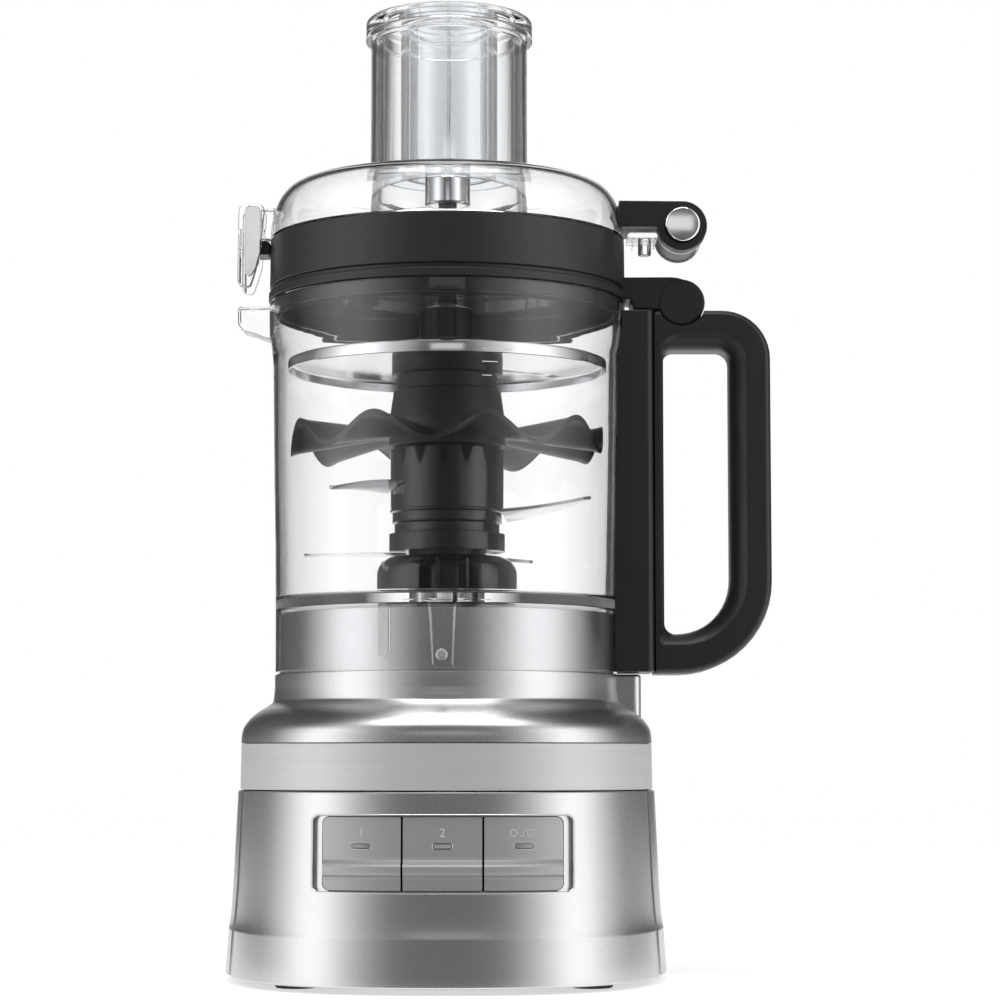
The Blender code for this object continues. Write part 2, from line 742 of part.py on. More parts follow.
def add_handle(body, rod_body):
    left, right, low, high = WINDOW
    outline = rounded(
        [
            (HANDLE_LEFT, HANDLE_TOP, 0.001),
            (HANDLE_LEFT, HANDLE_BOTTOM, 0.001),
            (HANDLE_RIGHT, HANDLE_BOTTOM, 0.042),
            (HANDLE_RIGHT, HANDLE_TOP, 0.022),
        ],
        math.radians(15),
    )
    window = rounded(
        [(left, high, 0.005), (left, low, 0.005), (right, low, 0.025), (right, high, 0.006)],
        math.radians(18),
    )
    grip = part(
        "handle_grip",
        prism("handle_grip", [outline, window], -HANDLE_HALF_DEPTH, HANDLE_HALF_DEPTH, "XZ"),
        BLACK,
        body,
    )
    cut(grip, "knuckle_socket", across("socket", HINGE_X, HINGE_Z, KNUCKLE_RADIUS + 0.001))
    bevel(grip, 0.0018, 1, 40)
    column_box = box(
        "column",
        (0.070, -COLUMN_HALF_DEPTH, BOWL_SKIRT_BOTTOM),
        (COLUMN_RIGHT, COLUMN_HALF_DEPTH, HANDLE_TOP - 0.001),
    )
    column = part("handle_column", column_box, BLACK, body)
    side = bowl_outside(0.0004)[1:-1]
    against_bowl = [(0.0, 0.35), (0.0824, 0.35)] + side + [(0.0783, 0.10), (0.0, 0.10)]
    cut(column, "bowl_side", turned("bowl_side", against_bowl, LARGE_ROUND))
    channel = box("channel", (ROD_X - 0.0018, -0.0018, 0.10), (ROD_X + 0.0018, 0.0018, 0.33))
    cut(column, "rod_channel", channel)
    half = 0.0015
    interlock = box("interlock_rod", (ROD_X - half, -half, 0.1400), (ROD_X + half, half, 0.3018))
    part("interlock_rod", interlock, STEEL, rod_body)


# ---------------------------------------------------------------- tools on the drive


def add_adapter(body):
    profile = [
        (0.0, 0.3565),
        (0.0034, 0.3565),
        (0.0042, 0.3540),
        (0.0042, 0.3065),
        (0.0125, 0.3040),
        (0.0125, 0.2905),
        (0.0080, 0.2905),
        (0.0080, 0.2630),
        (ADAPTER_RADIUS, 0.2610),
        (ADAPTER_RADIUS, 0.1715),
        (0.0146, 0.1715),
        (0.0146, BOWL_TUBE_TOP + 0.001),
        (0.0, BOWL_TUBE_TOP + 0.001),
    ]
    adapter = part("drive_adapter", turned("drive_adapter", profile, MEDIUM_ROUND), BLACK, body)
    socket = rod("socket", (0, 0, BOWL_TUBE_TOP), (0, 0, SHAFT_TOP + 0.001), 0.0070, 6)
    cut(adapter, "hexagon_socket", socket)


def blade(name, radius, reach, sweep, width, z, lean, turn, body):
    """A curved blade from a hub of the given radius, leaning up, turned round the axis in degrees."""
    trailing = [
        (radius + reach * t, -width * 0.5 * (1 - t) - sweep * t * t)
        for t in (0.0, 0.25, 0.5, 0.75, 1.0)
    ]
    leading = [
        (radius + reach * t, width * 0.5 * (1 - t * t) - sweep * t * t * 0.9 + 0.002 * t)
        for t in (0.95, 0.7, 0.45, 0.2, 0.0)
    ]
    mesh = prism(name, [trailing + leading], -0.0008, 0.0008)
    place = (
        Matrix.Rotation(math.radians(turn), 4, "Z")
        @ Matrix.Translation((radius, 0, z))
        @ Matrix.Rotation(-lean, 4, "Y")
        @ Matrix.Translation((-radius, 0, 0))
    )
    mesh.transform(place)
    part(name, mesh, STEEL, body)


def add_blades(body):
    shroud = [
        (0.0240, 0.1900),
        (0.0312, 0.1892),
        (0.0320, 0.1870),
        (0.0320, 0.1760),
        (0.0312, 0.1740),
        (HUB_BORE, 0.1740),
        (HUB_BORE, 0.1900),
    ]
    part("blade_shroud", turned("blade_shroud", shroud, MEDIUM_ROUND), GLOSS_BLACK, body)
    hub = [
        (0.0245, 0.2405),
        (HUB_RADIUS, 0.2390),
        (HUB_RADIUS, 0.2110),
        (0.0250, 0.2104),
        (0.0250, 0.2060),
        (0.0240, 0.2055),
        (0.0240, 0.2010),
        (0.0265, 0.2004),
        (0.0265, 0.1925),
        (HUB_BORE, 0.1925),
        (HUB_BORE, 0.2405),
    ]
    part("blade_hub", turned("blade_hub", hub, MEDIUM_ROUND), GLOSS_BLACK, body)
    inner, outer = 0.0190, HUB_RADIUS + GAP
    blade("lower_blade_left", inner, 0.0460, 0.012, 0.020, 0.1913, 0.0, 186, body)
    blade("lower_blade_right", inner, 0.0460, 0.012, 0.020, 0.1913, 0.0, 62, body)
    blade("upper_blade_left", outer, 0.0280, 0.010, 0.018, 0.2215, 0.16, 205, body)
    blade("upper_blade_right", outer, 0.0410, 0.010, 0.018, 0.2090, 0.19, -8, body)


def add_whisk(body):
    """A ruffled disc on a short flared hub, its waves growing from the hub out to the rim."""
    hub = [
        (0.0270, 0.2665),
        (0.0262, 0.2600),
        (0.0248, 0.2530),
        (0.0245, 0.2408),
        (HUB_BORE, 0.2408),
        (HUB_BORE, 0.2665),
    ]
    part("whisk_hub", turned("whisk_hub", hub, MEDIUM_ROUND), BLACK, body)
    around, steps = 6 * WHISK_WAVES, 3
    inner = 0.0248 + GAP
    rings = []
    for side, order in ((0.0009, range(steps + 1)), (-0.0009, range(steps, -1, -1))):
        for step in order:
            share = step / steps
            radius = inner + (WHISK_RADIUS - inner) * share
            ring = []
            for index in range(around):
                angle = 2 * math.pi * index / around
                wave = WHISK_SWING * share * math.sin(WHISK_WAVES * angle + 0.9 * share)
                height = 0.2455 - 0.0020 * share + wave + side
                ring.append(Vector((radius * math.cos(angle), radius * math.sin(angle), height)))
            rings.append(ring)
    part("whisk_disc", loft("whisk_disc", rings, "joined"), BLACK, body)


def add_slicing_disc(body):
    hub = [
        (0.0200, 0.2902),
        (0.0250, 0.2890),
        (0.0254, 0.2820),
        (0.0254, 0.2740),
        (0.0230, 0.2735),
        (0.0230, 0.2668),
        (0.0083, 0.2668),
        (0.0083, 0.2902),
    ]
    part("disc_hub", turned("disc_hub", hub, MEDIUM_ROUND), BLACK, body)
    disc = [
        (0.0257, 0.2806),
        (0.0715, 0.2806),
        (DISC_RADIUS, 0.2792),
        (DISC_RADIUS, 0.2750),
        (0.0718, 0.2750),
        (0.0714, 0.2792),
        (0.0257, 0.2794),
    ]
    plate = part("slicing_disc", turned("slicing_disc", disc, LARGE_ROUND), STEEL, body)
    turn = Matrix.Rotation(math.radians(40), 4, "Z")
    corners = [(0.030, -0.003), (0.068, -0.003), (0.068, 0.004), (0.030, 0.004)]
    slot = prism("slot", [rounded([(x, y, 0.001) for x, y in corners])], 0.27, 0.29)
    slot.transform(turn)
    cut(plate, "slicing_slot", slot)
    edge = box("slicing_blade", (0.031, -0.0022, 0.2811), (0.067, 0.0030, 0.2819))
    edge.transform(turn)
    part("slicing_blade", edge, STEEL, body)


# ---------------------------------------------------------------- lid


def add_lid_ring(lid):
    ring = [
        (0.0808, RING_TOP),
        (RING_RADIUS, RING_TOP - 0.0008),
        (RING_RADIUS, 0.3132),
        (0.0809, 0.3126),
        (0.0809, 0.3118),
        (0.0820, 0.3112),
        (0.0820, BOWL_RIM + 0.0004),
        (0.0788, BOWL_RIM + 0.0004),
        (0.0788, 0.3010),
        (0.0768, 0.3010),
        (0.0768, RING_TOP),
    ]
    part("lid_ring", turned("lid_ring", ring, LARGE_ROUND), BLACK, lid)
    seal = [(0.0790, 0.3006), (0.0788, 0.2990), (0.0768, 0.2990), (0.0768, 0.3006)]
    part("lid_seal", turned("lid_seal", seal, LARGE_ROUND), RUBBER, lid)
    boss_box = box("boss", (-0.0925, -0.0078, 0.3290), (-0.0822, 0.0078, 0.3354))
    boss = part("latch_boss", boss_box, BLACK, lid)
    cut(boss, "pin_hole", across("pin_hole", LATCH_X, LATCH_Z, LATCH_HOLE, 8))


def dome_outside():
    """The dome's outer side from its foot up: an elliptical shoulder and then a nearly flat crown."""
    shoulder = [
        (0.0680 + 0.0133 * math.cos(math.radians(a)), 0.3370 + 0.0238 * math.sin(math.radians(a)))
        for a in range(0, 91, 15)
    ]
    crown = [
        (radius, DOME_TOP - 0.0092 * (radius / 0.068) ** 2)
        for radius in (0.054, 0.040, 0.024)
    ]
    return [(0.0813, DOME_FOOT)] + shoulder + crown + [(0.0, DOME_TOP)]


def add_dome(lid):
    outside = dome_outside()
    inside = [(max(0.0, radius - DOME_WALL), height - DOME_WALL) for radius, height in outside[1:-1]]
    inside = [(0.0785, DOME_FOOT)] + inside[1:] + [(0.0, DOME_TOP - DOME_WALL)]
    dome = part("lid_dome", turned("lid_dome", outside + inside[::-1], LARGE_ROUND), CLEAR, lid)
    middle = (TUBE_RADIUS + TUBE_BORE) / 2
    opening = rod("opening", (0, TUBE_Y, 0.30), (0, TUBE_Y, 0.40), middle, MEDIUM_ROUND)
    cut(dome, "tube_opening", opening)
    tube = [(TUBE_RADIUS, TUBE_TOP), (TUBE_RADIUS, 0.322), (TUBE_BORE, 0.322), (TUBE_BORE, TUBE_TOP)]
    join(dome, "feed_tube", turned("feed_tube", tube, MEDIUM_ROUND, (0, TUBE_Y)))
    join(dome, "bearing_boss", rod("boss", (0, 0, 0.3510), (0, 0, 0.3690), 0.0104))
    cut(dome, "bearing_bore", rod("bore", (0, 0, 0.29), (0, 0, 0.3668), 0.0086))
    lug = box("lug", (-0.0856, -0.0070, 0.3364), (-0.0790, 0.0070, 0.3510))
    join(dome, "latch_lug", lug)
    # The adapter's stem passes here as the lid swings open
    stem_way = box("stem_way", (-0.0180, -0.0100, 0.3100), (0.0090, 0.0080, 0.3508))
    cut(dome, "stem_way", stem_way)
    bearing = [
        (0.0, 0.3665),
        (0.0083, 0.3665),
        (0.0083, 0.3535),
        (0.0063, 0.3535),
        (0.0060, 0.3640),
        (0.0, 0.3640),
    ]
    part("lid_bearing", turned("lid_bearing", bearing, SMALL_ROUND), CHROME, lid)


def add_lid_arms(lid, button):
    knuckle = arc((HINGE_X, HINGE_Z), KNUCKLE_RADIUS, -163, 70, 16)
    foot = [(0.0824, 0.3170), (0.0824, 0.3075), (0.0850, 0.3030)]
    lower = prism("lower", [foot + knuckle + [(0.1040, 0.3170)]], -0.013, 0.013, "XZ")
    part("hinge_arm", lower, BLACK, lid)
    corners = [
        (0.0818, 0.3500, 0),
        (0.0818, 0.3390, 0),
        (0.1070, 0.3390, 0),
        (0.1150, 0.3440, 0.002),
        (0.1150, 0.3500, 0.003),
    ]
    upper = prism("upper", [rounded(corners)], -0.012, 0.012, "XZ")
    arm = part("upper_arm", upper, BLACK, lid)
    join(arm, "barrel", across("barrel", HINGE_X, LOCK_Z, KNUCKLE_RADIUS, MEDIUM_ROUND, 0.0230))
    bore = rod("cap_bore", (HINGE_X, -0.05, LOCK_Z), (HINGE_X, -0.0160, LOCK_Z), 0.0081, MEDIUM_ROUND)
    cut(arm, "cap_bore", bore)
    lay = Matrix.Translation((HINGE_X, 0, LOCK_Z)) @ Matrix.Rotation(-math.pi / 2, 4, "X")
    inside = KNUCKLE_RADIUS + GAP
    band = [(0.0108, 0.0185), (0.0108, 0.0165), (inside, 0.0165), (inside, 0.0185)]
    part("barrel_ring", turned("barrel_ring", band, MEDIUM_ROUND, tilt=lay), CHROME, lid)
    cap = [(0.0, -0.0260), (0.0068, -0.0260), (0.0078, -0.0250), (0.0078, -0.0195), (0.0, -0.0195)]
    part("lid_button", turned("lid_button", cap, MEDIUM_ROUND, tilt=lay), CHROME, button)
    plate_box = box("lock_plate", (0.0824, -0.0110, 0.3362), (0.0965, 0.0110, 0.3386))
    plate = part("lock_plate", plate_box, CLEAR, lid)
    join(plate, "lock_pin", rod("lock_pin", (0.0905, -0.006, 0.3285), (0.0905, -0.006, 0.3370), 0.0030))


def add_latch(body):
    """A clear lever: a side each side of the boss, joined by an outer wall below the pivot."""
    side = rounded(
        [
            (-0.0832, 0.3520, 0.002),
            (-0.0955, 0.3526, 0.003),
            (-0.0959, 0.3140, 0.002),
            (-0.0900, 0.3126, 0.002),
            (-0.0860, 0.3250, 0.002),
        ]
    )
    lever = part("latch_lever", prism("latch_lever", [side], -0.0115, 0.0115, "XZ"), CLEAR, body)
    cut(lever, "gap", box("gap", (-0.0938, -0.0088, 0.30), (-0.07, 0.0088, 0.36)))
    cut(lever, "top_gap", box("top_gap", (-0.10, -0.0088, 0.3400), (-0.07, 0.0088, 0.36)))
    cheek = rounded(
        [
            (-0.0852, 0.3505, 0.0015),
            (-0.0926, 0.3510, 0.0015),
            (-0.0926, 0.3200, 0.0012),
            (-0.0895, 0.3180, 0.001),
            (-0.0852, 0.3290, 0.002),
        ]
    )
    plate = part("latch_cheek", prism("latch_cheek", [cheek], -0.0136, -0.0118, "XZ"), CHROME, body)
    bevel(plate, 0.0004, 1, 50)
    cut(lever, "pin_hole", across("pin_hole", LATCH_X, LATCH_Z, LATCH_HOLE, 8))
    pin = across("latch_pin", LATCH_X, LATCH_Z, LATCH_HOLE - 0.0004, 8, 0.0114)
    part("latch_pin", pin, STEEL, body)


def add_pushers(large, small):
    outer = [
        (0.0363, 0.4495),
        (0.0392, 0.4482),
        (0.0396, 0.4460),
        (0.0396, 0.4381),
        (0.0334, 0.4381),
        (0.0334, 0.3740),
        (0.0316, 0.3740),
        (0.0316, 0.4440),
        (0.0230, 0.4440),
        (0.0230, 0.3760),
        (0.0213, 0.3760),
        (0.0213, 0.4470),
        (0.0340, 0.4470),
        (0.0346, 0.4495),
    ]
    part("large_pusher", turned("large_pusher", outer, MEDIUM_ROUND, (0, TUBE_Y)), CLEAR, large)
    inner = [
        (0.0, 0.4546),
        (0.0160, 0.4542),
        (0.0180, 0.4528),
        (0.0184, 0.4505),
        (0.0228, 0.4500),
        (0.0228, 0.4474),
        (0.0209, 0.4474),
        (0.0209, 0.3745),
        (0.0191, 0.3745),
        (0.0191, 0.4500),
        (0.0, 0.4520),
    ]
    part("small_pusher", turned("small_pusher", inner, MEDIUM_ROUND, (0, TUBE_Y)), CLEAR, small)


def main():
    for old in list(bpy.data.objects):
        bpy.data.objects.remove(old)
    global PARTS, HELPERS, AXIS
    PARTS = new_collection("food_processor")
    HELPERS = new_collection("cutters", hidden=True)
    AXIS = bpy.data.objects.new("drive_axis", None)
    PARTS.objects.link(AXIS)
    AXIS.location = DRIVE_AXIS

    def moving(name, place=(0, 0, 0), parent=None):
        return new_empty(name, Vector(place), parent or AXIS)

    bowl = moving("bowl_body")
    lid = moving("lid_hinge_axis", (HINGE_X, 0, HINGE_Z), bowl)
    latch = moving("latch_axis", (LATCH_X, 0, LATCH_Z), lid)
    lid_button = moving("lid_button_axis", (HINGE_X, 0, LOCK_Z), lid)
    large = moving("large_pusher_axis", (0, TUBE_Y, 0), lid)
    small = moving("small_pusher_axis", (0, TUBE_Y, 0), large)
    tools = moving("tool_axis", (0, 0, 0), bowl)
    interlock = moving("interlock_axis", (ROD_X, 0, 0), bowl)
    drive = moving("pulley_axis")
    motor = moving("motor_axis", (0, MOTOR_Y, 0))
    buttons = {name: moving(f"{name}_button_axis") for name in BUTTON_NAMES}

    add_housing(AXIS)
    add_band(AXIS)
    add_top_cover(AXIS)
    add_bottom(AXIS)
    add_cord_gland(AXIS)
    add_buttons(AXIS, buttons)
    add_control_board(AXIS)
    add_chassis(AXIS)
    add_drive(drive, AXIS)
    add_motor(motor, AXIS)
    add_bowl(bowl)
    add_handle(bowl, interlock)
    add_adapter(tools)
    add_blades(tools)
    add_whisk(tools)
    add_slicing_disc(tools)
    add_lid_ring(lid)
    add_dome(lid)
    add_lid_arms(lid, lid_button)
    add_latch(latch)
    add_pushers(large, small)
    for made in PARTS.objects:
        if made.type == "MESH":
            made.data.shade_smooth()
            made.data.set_sharp_from_angle(angle=math.radians(35))


main()
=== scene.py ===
"""Looks of the food processor: shells, clear bowl and lid, tools, handle, finishes and stage.

Every length is in metres. Shapes are drawn from the drive axis, the vertical centre line of the bowl,
with X to the right, Y to the back and Z up, and piece() sets them on that axis in the frame.
"""

import functools
import json
import math

import bmesh
import bpy
from mathutils import Matrix, Vector


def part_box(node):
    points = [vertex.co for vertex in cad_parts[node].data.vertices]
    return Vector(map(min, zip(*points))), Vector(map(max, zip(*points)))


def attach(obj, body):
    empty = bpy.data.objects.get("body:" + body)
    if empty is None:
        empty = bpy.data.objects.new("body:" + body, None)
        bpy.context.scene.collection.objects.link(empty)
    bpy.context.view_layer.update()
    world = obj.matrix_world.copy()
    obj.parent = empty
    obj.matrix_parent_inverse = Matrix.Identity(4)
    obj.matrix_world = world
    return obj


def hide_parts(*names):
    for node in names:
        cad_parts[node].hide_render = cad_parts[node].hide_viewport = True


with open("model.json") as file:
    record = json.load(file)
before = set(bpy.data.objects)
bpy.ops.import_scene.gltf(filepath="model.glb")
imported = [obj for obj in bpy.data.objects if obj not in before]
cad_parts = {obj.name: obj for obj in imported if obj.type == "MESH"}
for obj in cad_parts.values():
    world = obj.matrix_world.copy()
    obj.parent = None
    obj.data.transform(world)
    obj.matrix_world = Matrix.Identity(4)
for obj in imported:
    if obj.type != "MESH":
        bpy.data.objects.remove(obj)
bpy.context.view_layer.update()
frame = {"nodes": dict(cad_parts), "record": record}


def centre_of(node):
    low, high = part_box(node)
    return (low + high) / 2


DRIVE = centre_of("drive_shaft")
DRIVE.z = 0.0


def from_drive(node):
    """A CAD node's lowest and highest corners, measured from the drive axis."""
    low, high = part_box(node)
    return low - DRIVE, high - DRIVE


# Points round a large, a middling and a small turned piece
FINE, ROUND, SMALL = 144, 96, 48

# Clearance between pieces that touch
GAP = 0.0003

# Camera, from the drive axis: place, tilt from straight down in degrees, and lens in millimetres
CAMERA_PLACE = (0.0242, -1.3220, 0.0987)
CAMERA_TILT = 95.1
CAMERA_LENS = 104.4

# Floor: its sides, and how brightly it glows so that it meets the white backdrop without an edge
FLOOR_SIDE, FLOOR_FRONT, FLOOR_BACK = 1.5, -0.13, 2.0
FLOOR_GLOW = 0.62

# Base, from its CAD shells
BASE_HALF_WIDTH = from_drive("rear_housing")[1].x
BASE_TOP_HALF_WIDTH = 0.0938
BASE_DEPTH_RATIO = 1.158
BASE_CENTRE_Y = 0.014
PLAN_EXPONENT = 2.5
BASE_BOTTOM = from_drive("front_housing")[0].z
BAND_BOTTOM = from_drive("trim_band")[0].z - GAP
BAND_TOP = from_drive("trim_band")[1].z + GAP
SEAM_Y = from_drive("front_housing")[1].y
PLINTH_TOP = 0.0235
SHELL = 0.0025
NECK_RADIUS = 0.078
NECK_TOP = 0.1368
COLLAR_RADIUS = 0.0758
DECK_TOP = from_drive("top_cover")[1].z
GLAND_Z = 0.042

# Buttons
BUTTON_PITCH = (centre_of("high_button") - centre_of("low_button")).x
BUTTON_HALF_WIDTH = 0.0168
BUTTON_LOW, BUTTON_HIGH = from_drive("high_button")[0].z, from_drive("high_button")[1].z
BUTTON_BACK_Y = -0.0785
BUTTON_END_ROUND, BUTTON_SIDE_ROUND = 0.0030, 0.0005
MARK_Z = 0.0675
MARK_BACK = 0.0011
TRAY_HALF_WIDTH = 0.0513
BEZEL_HALF_WIDTH = 0.0555
BEZEL_LOW, BEZEL_HIGH = 0.0425, 0.0750
LENS_Z = centre_of("high_indicator_lens").z
LENS_BACK = 0.0026
CUT_FRONT, CUT_BACK = -0.15, -0.05

# Bowl and handle
BOWL_RIM = from_drive("bowl")[1].z
BOWL_FLOOR = 0.170
BOWL_UNDERSIDE = 0.1660
RIM_RADIUS = 0.0816
SKIRT_BOTTOM = from_drive("bowl")[0].z
SKIRT_RADIUS = 0.0780
TUBE_HEAD = 0.236
TOOL_BORE = 0.0178
HANDLE_LEFT, HANDLE_RIGHT = from_drive("handle_grip")[0].x, from_drive("handle_grip")[1].x
HANDLE_BOTTOM, HANDLE_TOP = from_drive("handle_grip")[0].z, from_drive("handle_grip")[1].z
HANDLE_HALF_DEPTH = from_drive("handle_grip")[1].y
WINDOW_LEFT, WINDOW_RIGHT = 0.0988, 0.1290
WINDOW_LOW, WINDOW_HIGH = 0.155, 0.2847
COLUMN_RIGHT = from_drive("handle_column")[1].x
COLUMN_HALF_DEPTH = 0.020
COLUMN_TOP = from_drive("handle_column")[1].z
ROD_X = (from_drive("interlock_rod")[0].x + from_drive("interlock_rod")[1].x) / 2

# Lid
HINGE_X, HINGE_Z = 0.107, 0.306
KNUCKLE_RADIUS = 0.010
RING_TOP = from_drive("lid_ring")[1].z
RING_RADIUS = 0.0815
DOME_FOOT = 0.3361
DOME_TOP = 0.370
DOME_WALL = 0.0024
TUBE_Y = 0.036
TUBE_RADIUS, TUBE_BORE = 0.0372, 0.0348
TUBE_TOP = 0.4377
LOCK_Z = 0.340
LATCH_X, LATCH_Z = -0.0885, 0.332
DOME_RADIUS = 0.0813
CROWN_RADIUS = 0.068
ARM_LEFT, ARM_LOW, ARM_TOP = 0.0783, 0.3395, 0.3512


# ---------------------------------------------------------------- shader maths


class Value:
    """A shader socket that can be used in arithmetic: each operator adds one Math node."""

    def __init__(self, graph, socket):
        self.graph = graph
        self.socket = socket

    def math(self, operation, *others):
        inputs = dict(enumerate((self, *others)))
        return self.graph.node("ShaderNodeMath", {"operation": operation}, inputs)

    def flipped(self, operation, other):
        return self.graph.node("ShaderNodeMath", {"operation": operation}, {0: other, 1: self})

    def __add__(self, other):
        return self.math("ADD", other)

    def __sub__(self, other):
        return self.math("SUBTRACT", other)

    def __rsub__(self, other):
        return self.flipped("SUBTRACT", other)

    def __mul__(self, other):
        return self.math("MULTIPLY", other)

    def __truediv__(self, other):
        return self.math("DIVIDE", other)

    def __rtruediv__(self, other):
        return self.flipped("DIVIDE", other)

    __radd__ = __add__
    __rmul__ = __mul__


class Graph:
    """The node tree of a material, of the world or of Geometry Nodes."""

    def __init__(self, tree):
        self.tree = tree

    def node(self, kind, settings=None, inputs=None, output=0):
        """Adds a node: settings first, then the values or links of its sockets. Gives back one output."""
        made = self.tree.nodes.new(kind)
        for key, value in (settings or {}).items():
            if key == "stops":
                set_stops(made.color_ramp, value)
            else:
                setattr(made, key, value)
        for key, value in (inputs or {}).items():
            self.feed(made.inputs[key], value)
        return Value(self, made.outputs[output])

    def feed(self, socket, value):
        if isinstance(value, Value):
            self.tree.links.new(value.socket, socket)
        else:
            socket.default_value = value

    def place(self, stretch=(1.0, 1.0, 1.0), centre=(0.0, 0.0, 0.0)):
        """Object coordinates, stretched along each axis about a centre."""
        where = self.node("ShaderNodeTexCoord", output="Object")
        shift = tuple(-c * s for c, s in zip(centre, stretch))
        return self.node("ShaderNodeMapping", {}, {"Vector": where, "Scale": stretch, "Location": shift})

    def noise(self, scale, detail=2.0, stretch=(1.0, 1.0, 1.0)):
        inputs = {"Vector": self.place(stretch), "Scale": scale, "Detail": detail}
        return self.node("ShaderNodeTexNoise", {}, inputs, "Fac")

    def tint(self, share, first, second):
        """A colour between two plain colours, by a share from 0 to 1."""
        return self.blend(share, (*first, 1.0), (*second, 1.0))

    def blend(self, share, first, second):
        """A colour between two colours or links, by a share from 0 to 1."""
        inputs = {"Factor": share, "A": first, "B": second}
        made = self.tree.nodes.new("ShaderNodeMix")
        made.data_type = "RGBA"
        for socket in made.inputs:
            if socket.enabled and socket.name in inputs:
                self.feed(socket, inputs[socket.name])
        return Value(self, next(socket for socket in made.outputs if socket.enabled))

    def bump(self, height, distance, strength=1.0):
        inputs = {"Height": height, "Distance": distance, "Strength": strength}
        return self.node("ShaderNodeBump", {}, inputs)


def set_stops(ramp, stops):
    """Stops of a colour ramp as (position, grey), in rising order."""
    while len(ramp.elements) > 1:
        ramp.elements.remove(ramp.elements[-1])
    for index, (position, grey) in enumerate(stops):
        element = ramp.elements[0] if index == 0 else ramp.elements.new(position)
        element.position = position
        element.color = (grey, grey, grey, 1.0)


FINISHES = {}


def finish(name, roughness, metallic=0.0, colour=(0.5, 0.5, 0.5), **constants):
    """A new material whose Principled shader has these constants. Gives its graph and its shader."""
    made = bpy.data.materials.new(name)
    made.use_nodes = True
    graph = Graph(made.node_tree)
    shader = graph.tree.nodes["Principled BSDF"]
    shader.inputs["Base Color"].default_value = (*colour, 1.0)
    shader.inputs["Roughness"].default_value = roughness
    shader.inputs["Metallic"].default_value = metallic
    for key, value in constants.items():
        shader.inputs[key.replace("_", " ").title().replace("Ior", "IOR")].default_value = value
    made.diffuse_color = (*colour, 1.0)
    FINISHES[name] = made
    return graph, shader


def feed(graph, shader, **sockets):
    for key, value in sockets.items():
        graph.feed(shader.inputs[key.replace("_", " ").title()], value)


# ---------------------------------------------------------------- finishes


def make_satin_silver():
    """Silver paint: fine bright flakes under a satin coat, with a faint orange peel."""
    graph, shader = finish("satin_silver", 0.28, 1.0, (0.62, 0.62, 0.63))
    flakes = graph.noise(3400.0, 1.0)
    drift = graph.noise(60.0, 2.0)
    share = flakes * 0.85 + drift * 0.15
    feed(
        graph,
        shader,
        base_color=graph.tint(share, (0.49, 0.49, 0.50), (0.81, 0.81, 0.82)),
        roughness=0.24 + flakes * 0.10,
        normal=graph.bump(flakes, 0.00004, 0.30),
    )


def make_brushed_band():
    """Aluminium brushed along its length: streaks a few hundredths of a millimetre high and very long."""
    graph, shader = finish("brushed_band", 0.48, 0.55, (0.72, 0.72, 0.72))
    streaks = graph.noise(1.0, 4.0, (9.0, 9.0, 5200.0))
    broad = graph.noise(1.0, 2.0, (14.0, 14.0, 420.0))
    share = streaks * 0.65 + broad * 0.35
    feed(
        graph,
        shader,
        base_color=graph.tint(share, (0.58, 0.58, 0.58), (0.82, 0.82, 0.82)),
        roughness=0.42 + streaks * 0.20,
        normal=graph.bump(streaks, 0.00003, 0.4),
    )


def make_button_grey():
    """Grey metallic paint on the buttons."""
    graph, shader = finish("button_grey", 0.44, 0.60, (0.47, 0.47, 0.48))
    flakes = graph.noise(4600.0, 1.0)
    feed(
        graph,
        shader,
        base_color=graph.tint(flakes, (0.40, 0.40, 0.41), (0.56, 0.56, 0.57)),
        roughness=0.42 + flakes * 0.12,
        normal=graph.bump(flakes, 0.00003, 0.3),
    )


def make_lens_white():
    """Cloudy light pipes, unlit."""
    graph, shader = finish("lens_white", 0.25, 0.0, (0.50, 0.51, 0.53), coat_weight=0.5)
    cloud = graph.noise(900.0, 2.0)
    feed(graph, shader, base_color=graph.tint(cloud, (0.33, 0.34, 0.35), (0.55, 0.56, 0.58)))


def make_print_white():
    """Printed marks on the buttons and the bowl."""
    graph, shader = finish("print_white", 0.5, 0.0, (0.85, 0.85, 0.85))
    grain = graph.noise(3000.0, 1.0)
    feed(graph, shader, base_color=graph.tint(grain, (0.78, 0.78, 0.78), (0.92, 0.92, 0.92)))


def make_clear_plastic():
    """Clear copolyester: nearly colourless, with slight waves from moulding."""
    tint = (0.97, 0.975, 0.98)
    graph, shader = finish("clear_plastic", 0.02, 0.0, tint, transmission_weight=1.0, ior=1.45)
    waves = graph.noise(45.0, 2.0)
    feed(
        graph,
        shader,
        roughness=0.012 + waves * 0.02,
        normal=graph.bump(waves, 0.0003, 0.12),
    )


def make_black_plastic():
    """Satin moulded plastic with a very fine spark-eroded grain."""
    graph, shader = finish("black_plastic", 0.38, 0.0, (0.017, 0.017, 0.018))
    grain = graph.noise(3400.0, 2.0)
    drift = graph.noise(40.0, 2.0)
    feed(
        graph,
        shader,
        base_color=graph.tint(drift, (0.013, 0.013, 0.014), (0.022, 0.022, 0.023)),
        roughness=0.33 + grain * 0.10 + drift * 0.04,
        normal=graph.bump(grain, 0.00003, 0.35),
    )


def make_gloss_black():
    """Polished moulded plastic."""
    graph, shader = finish("gloss_black", 0.10, 0.0, (0.012, 0.012, 0.013), coat_weight=0.3)
    drift = graph.noise(70.0, 2.0)
    feed(graph, shader, roughness=0.08 + drift * 0.08)


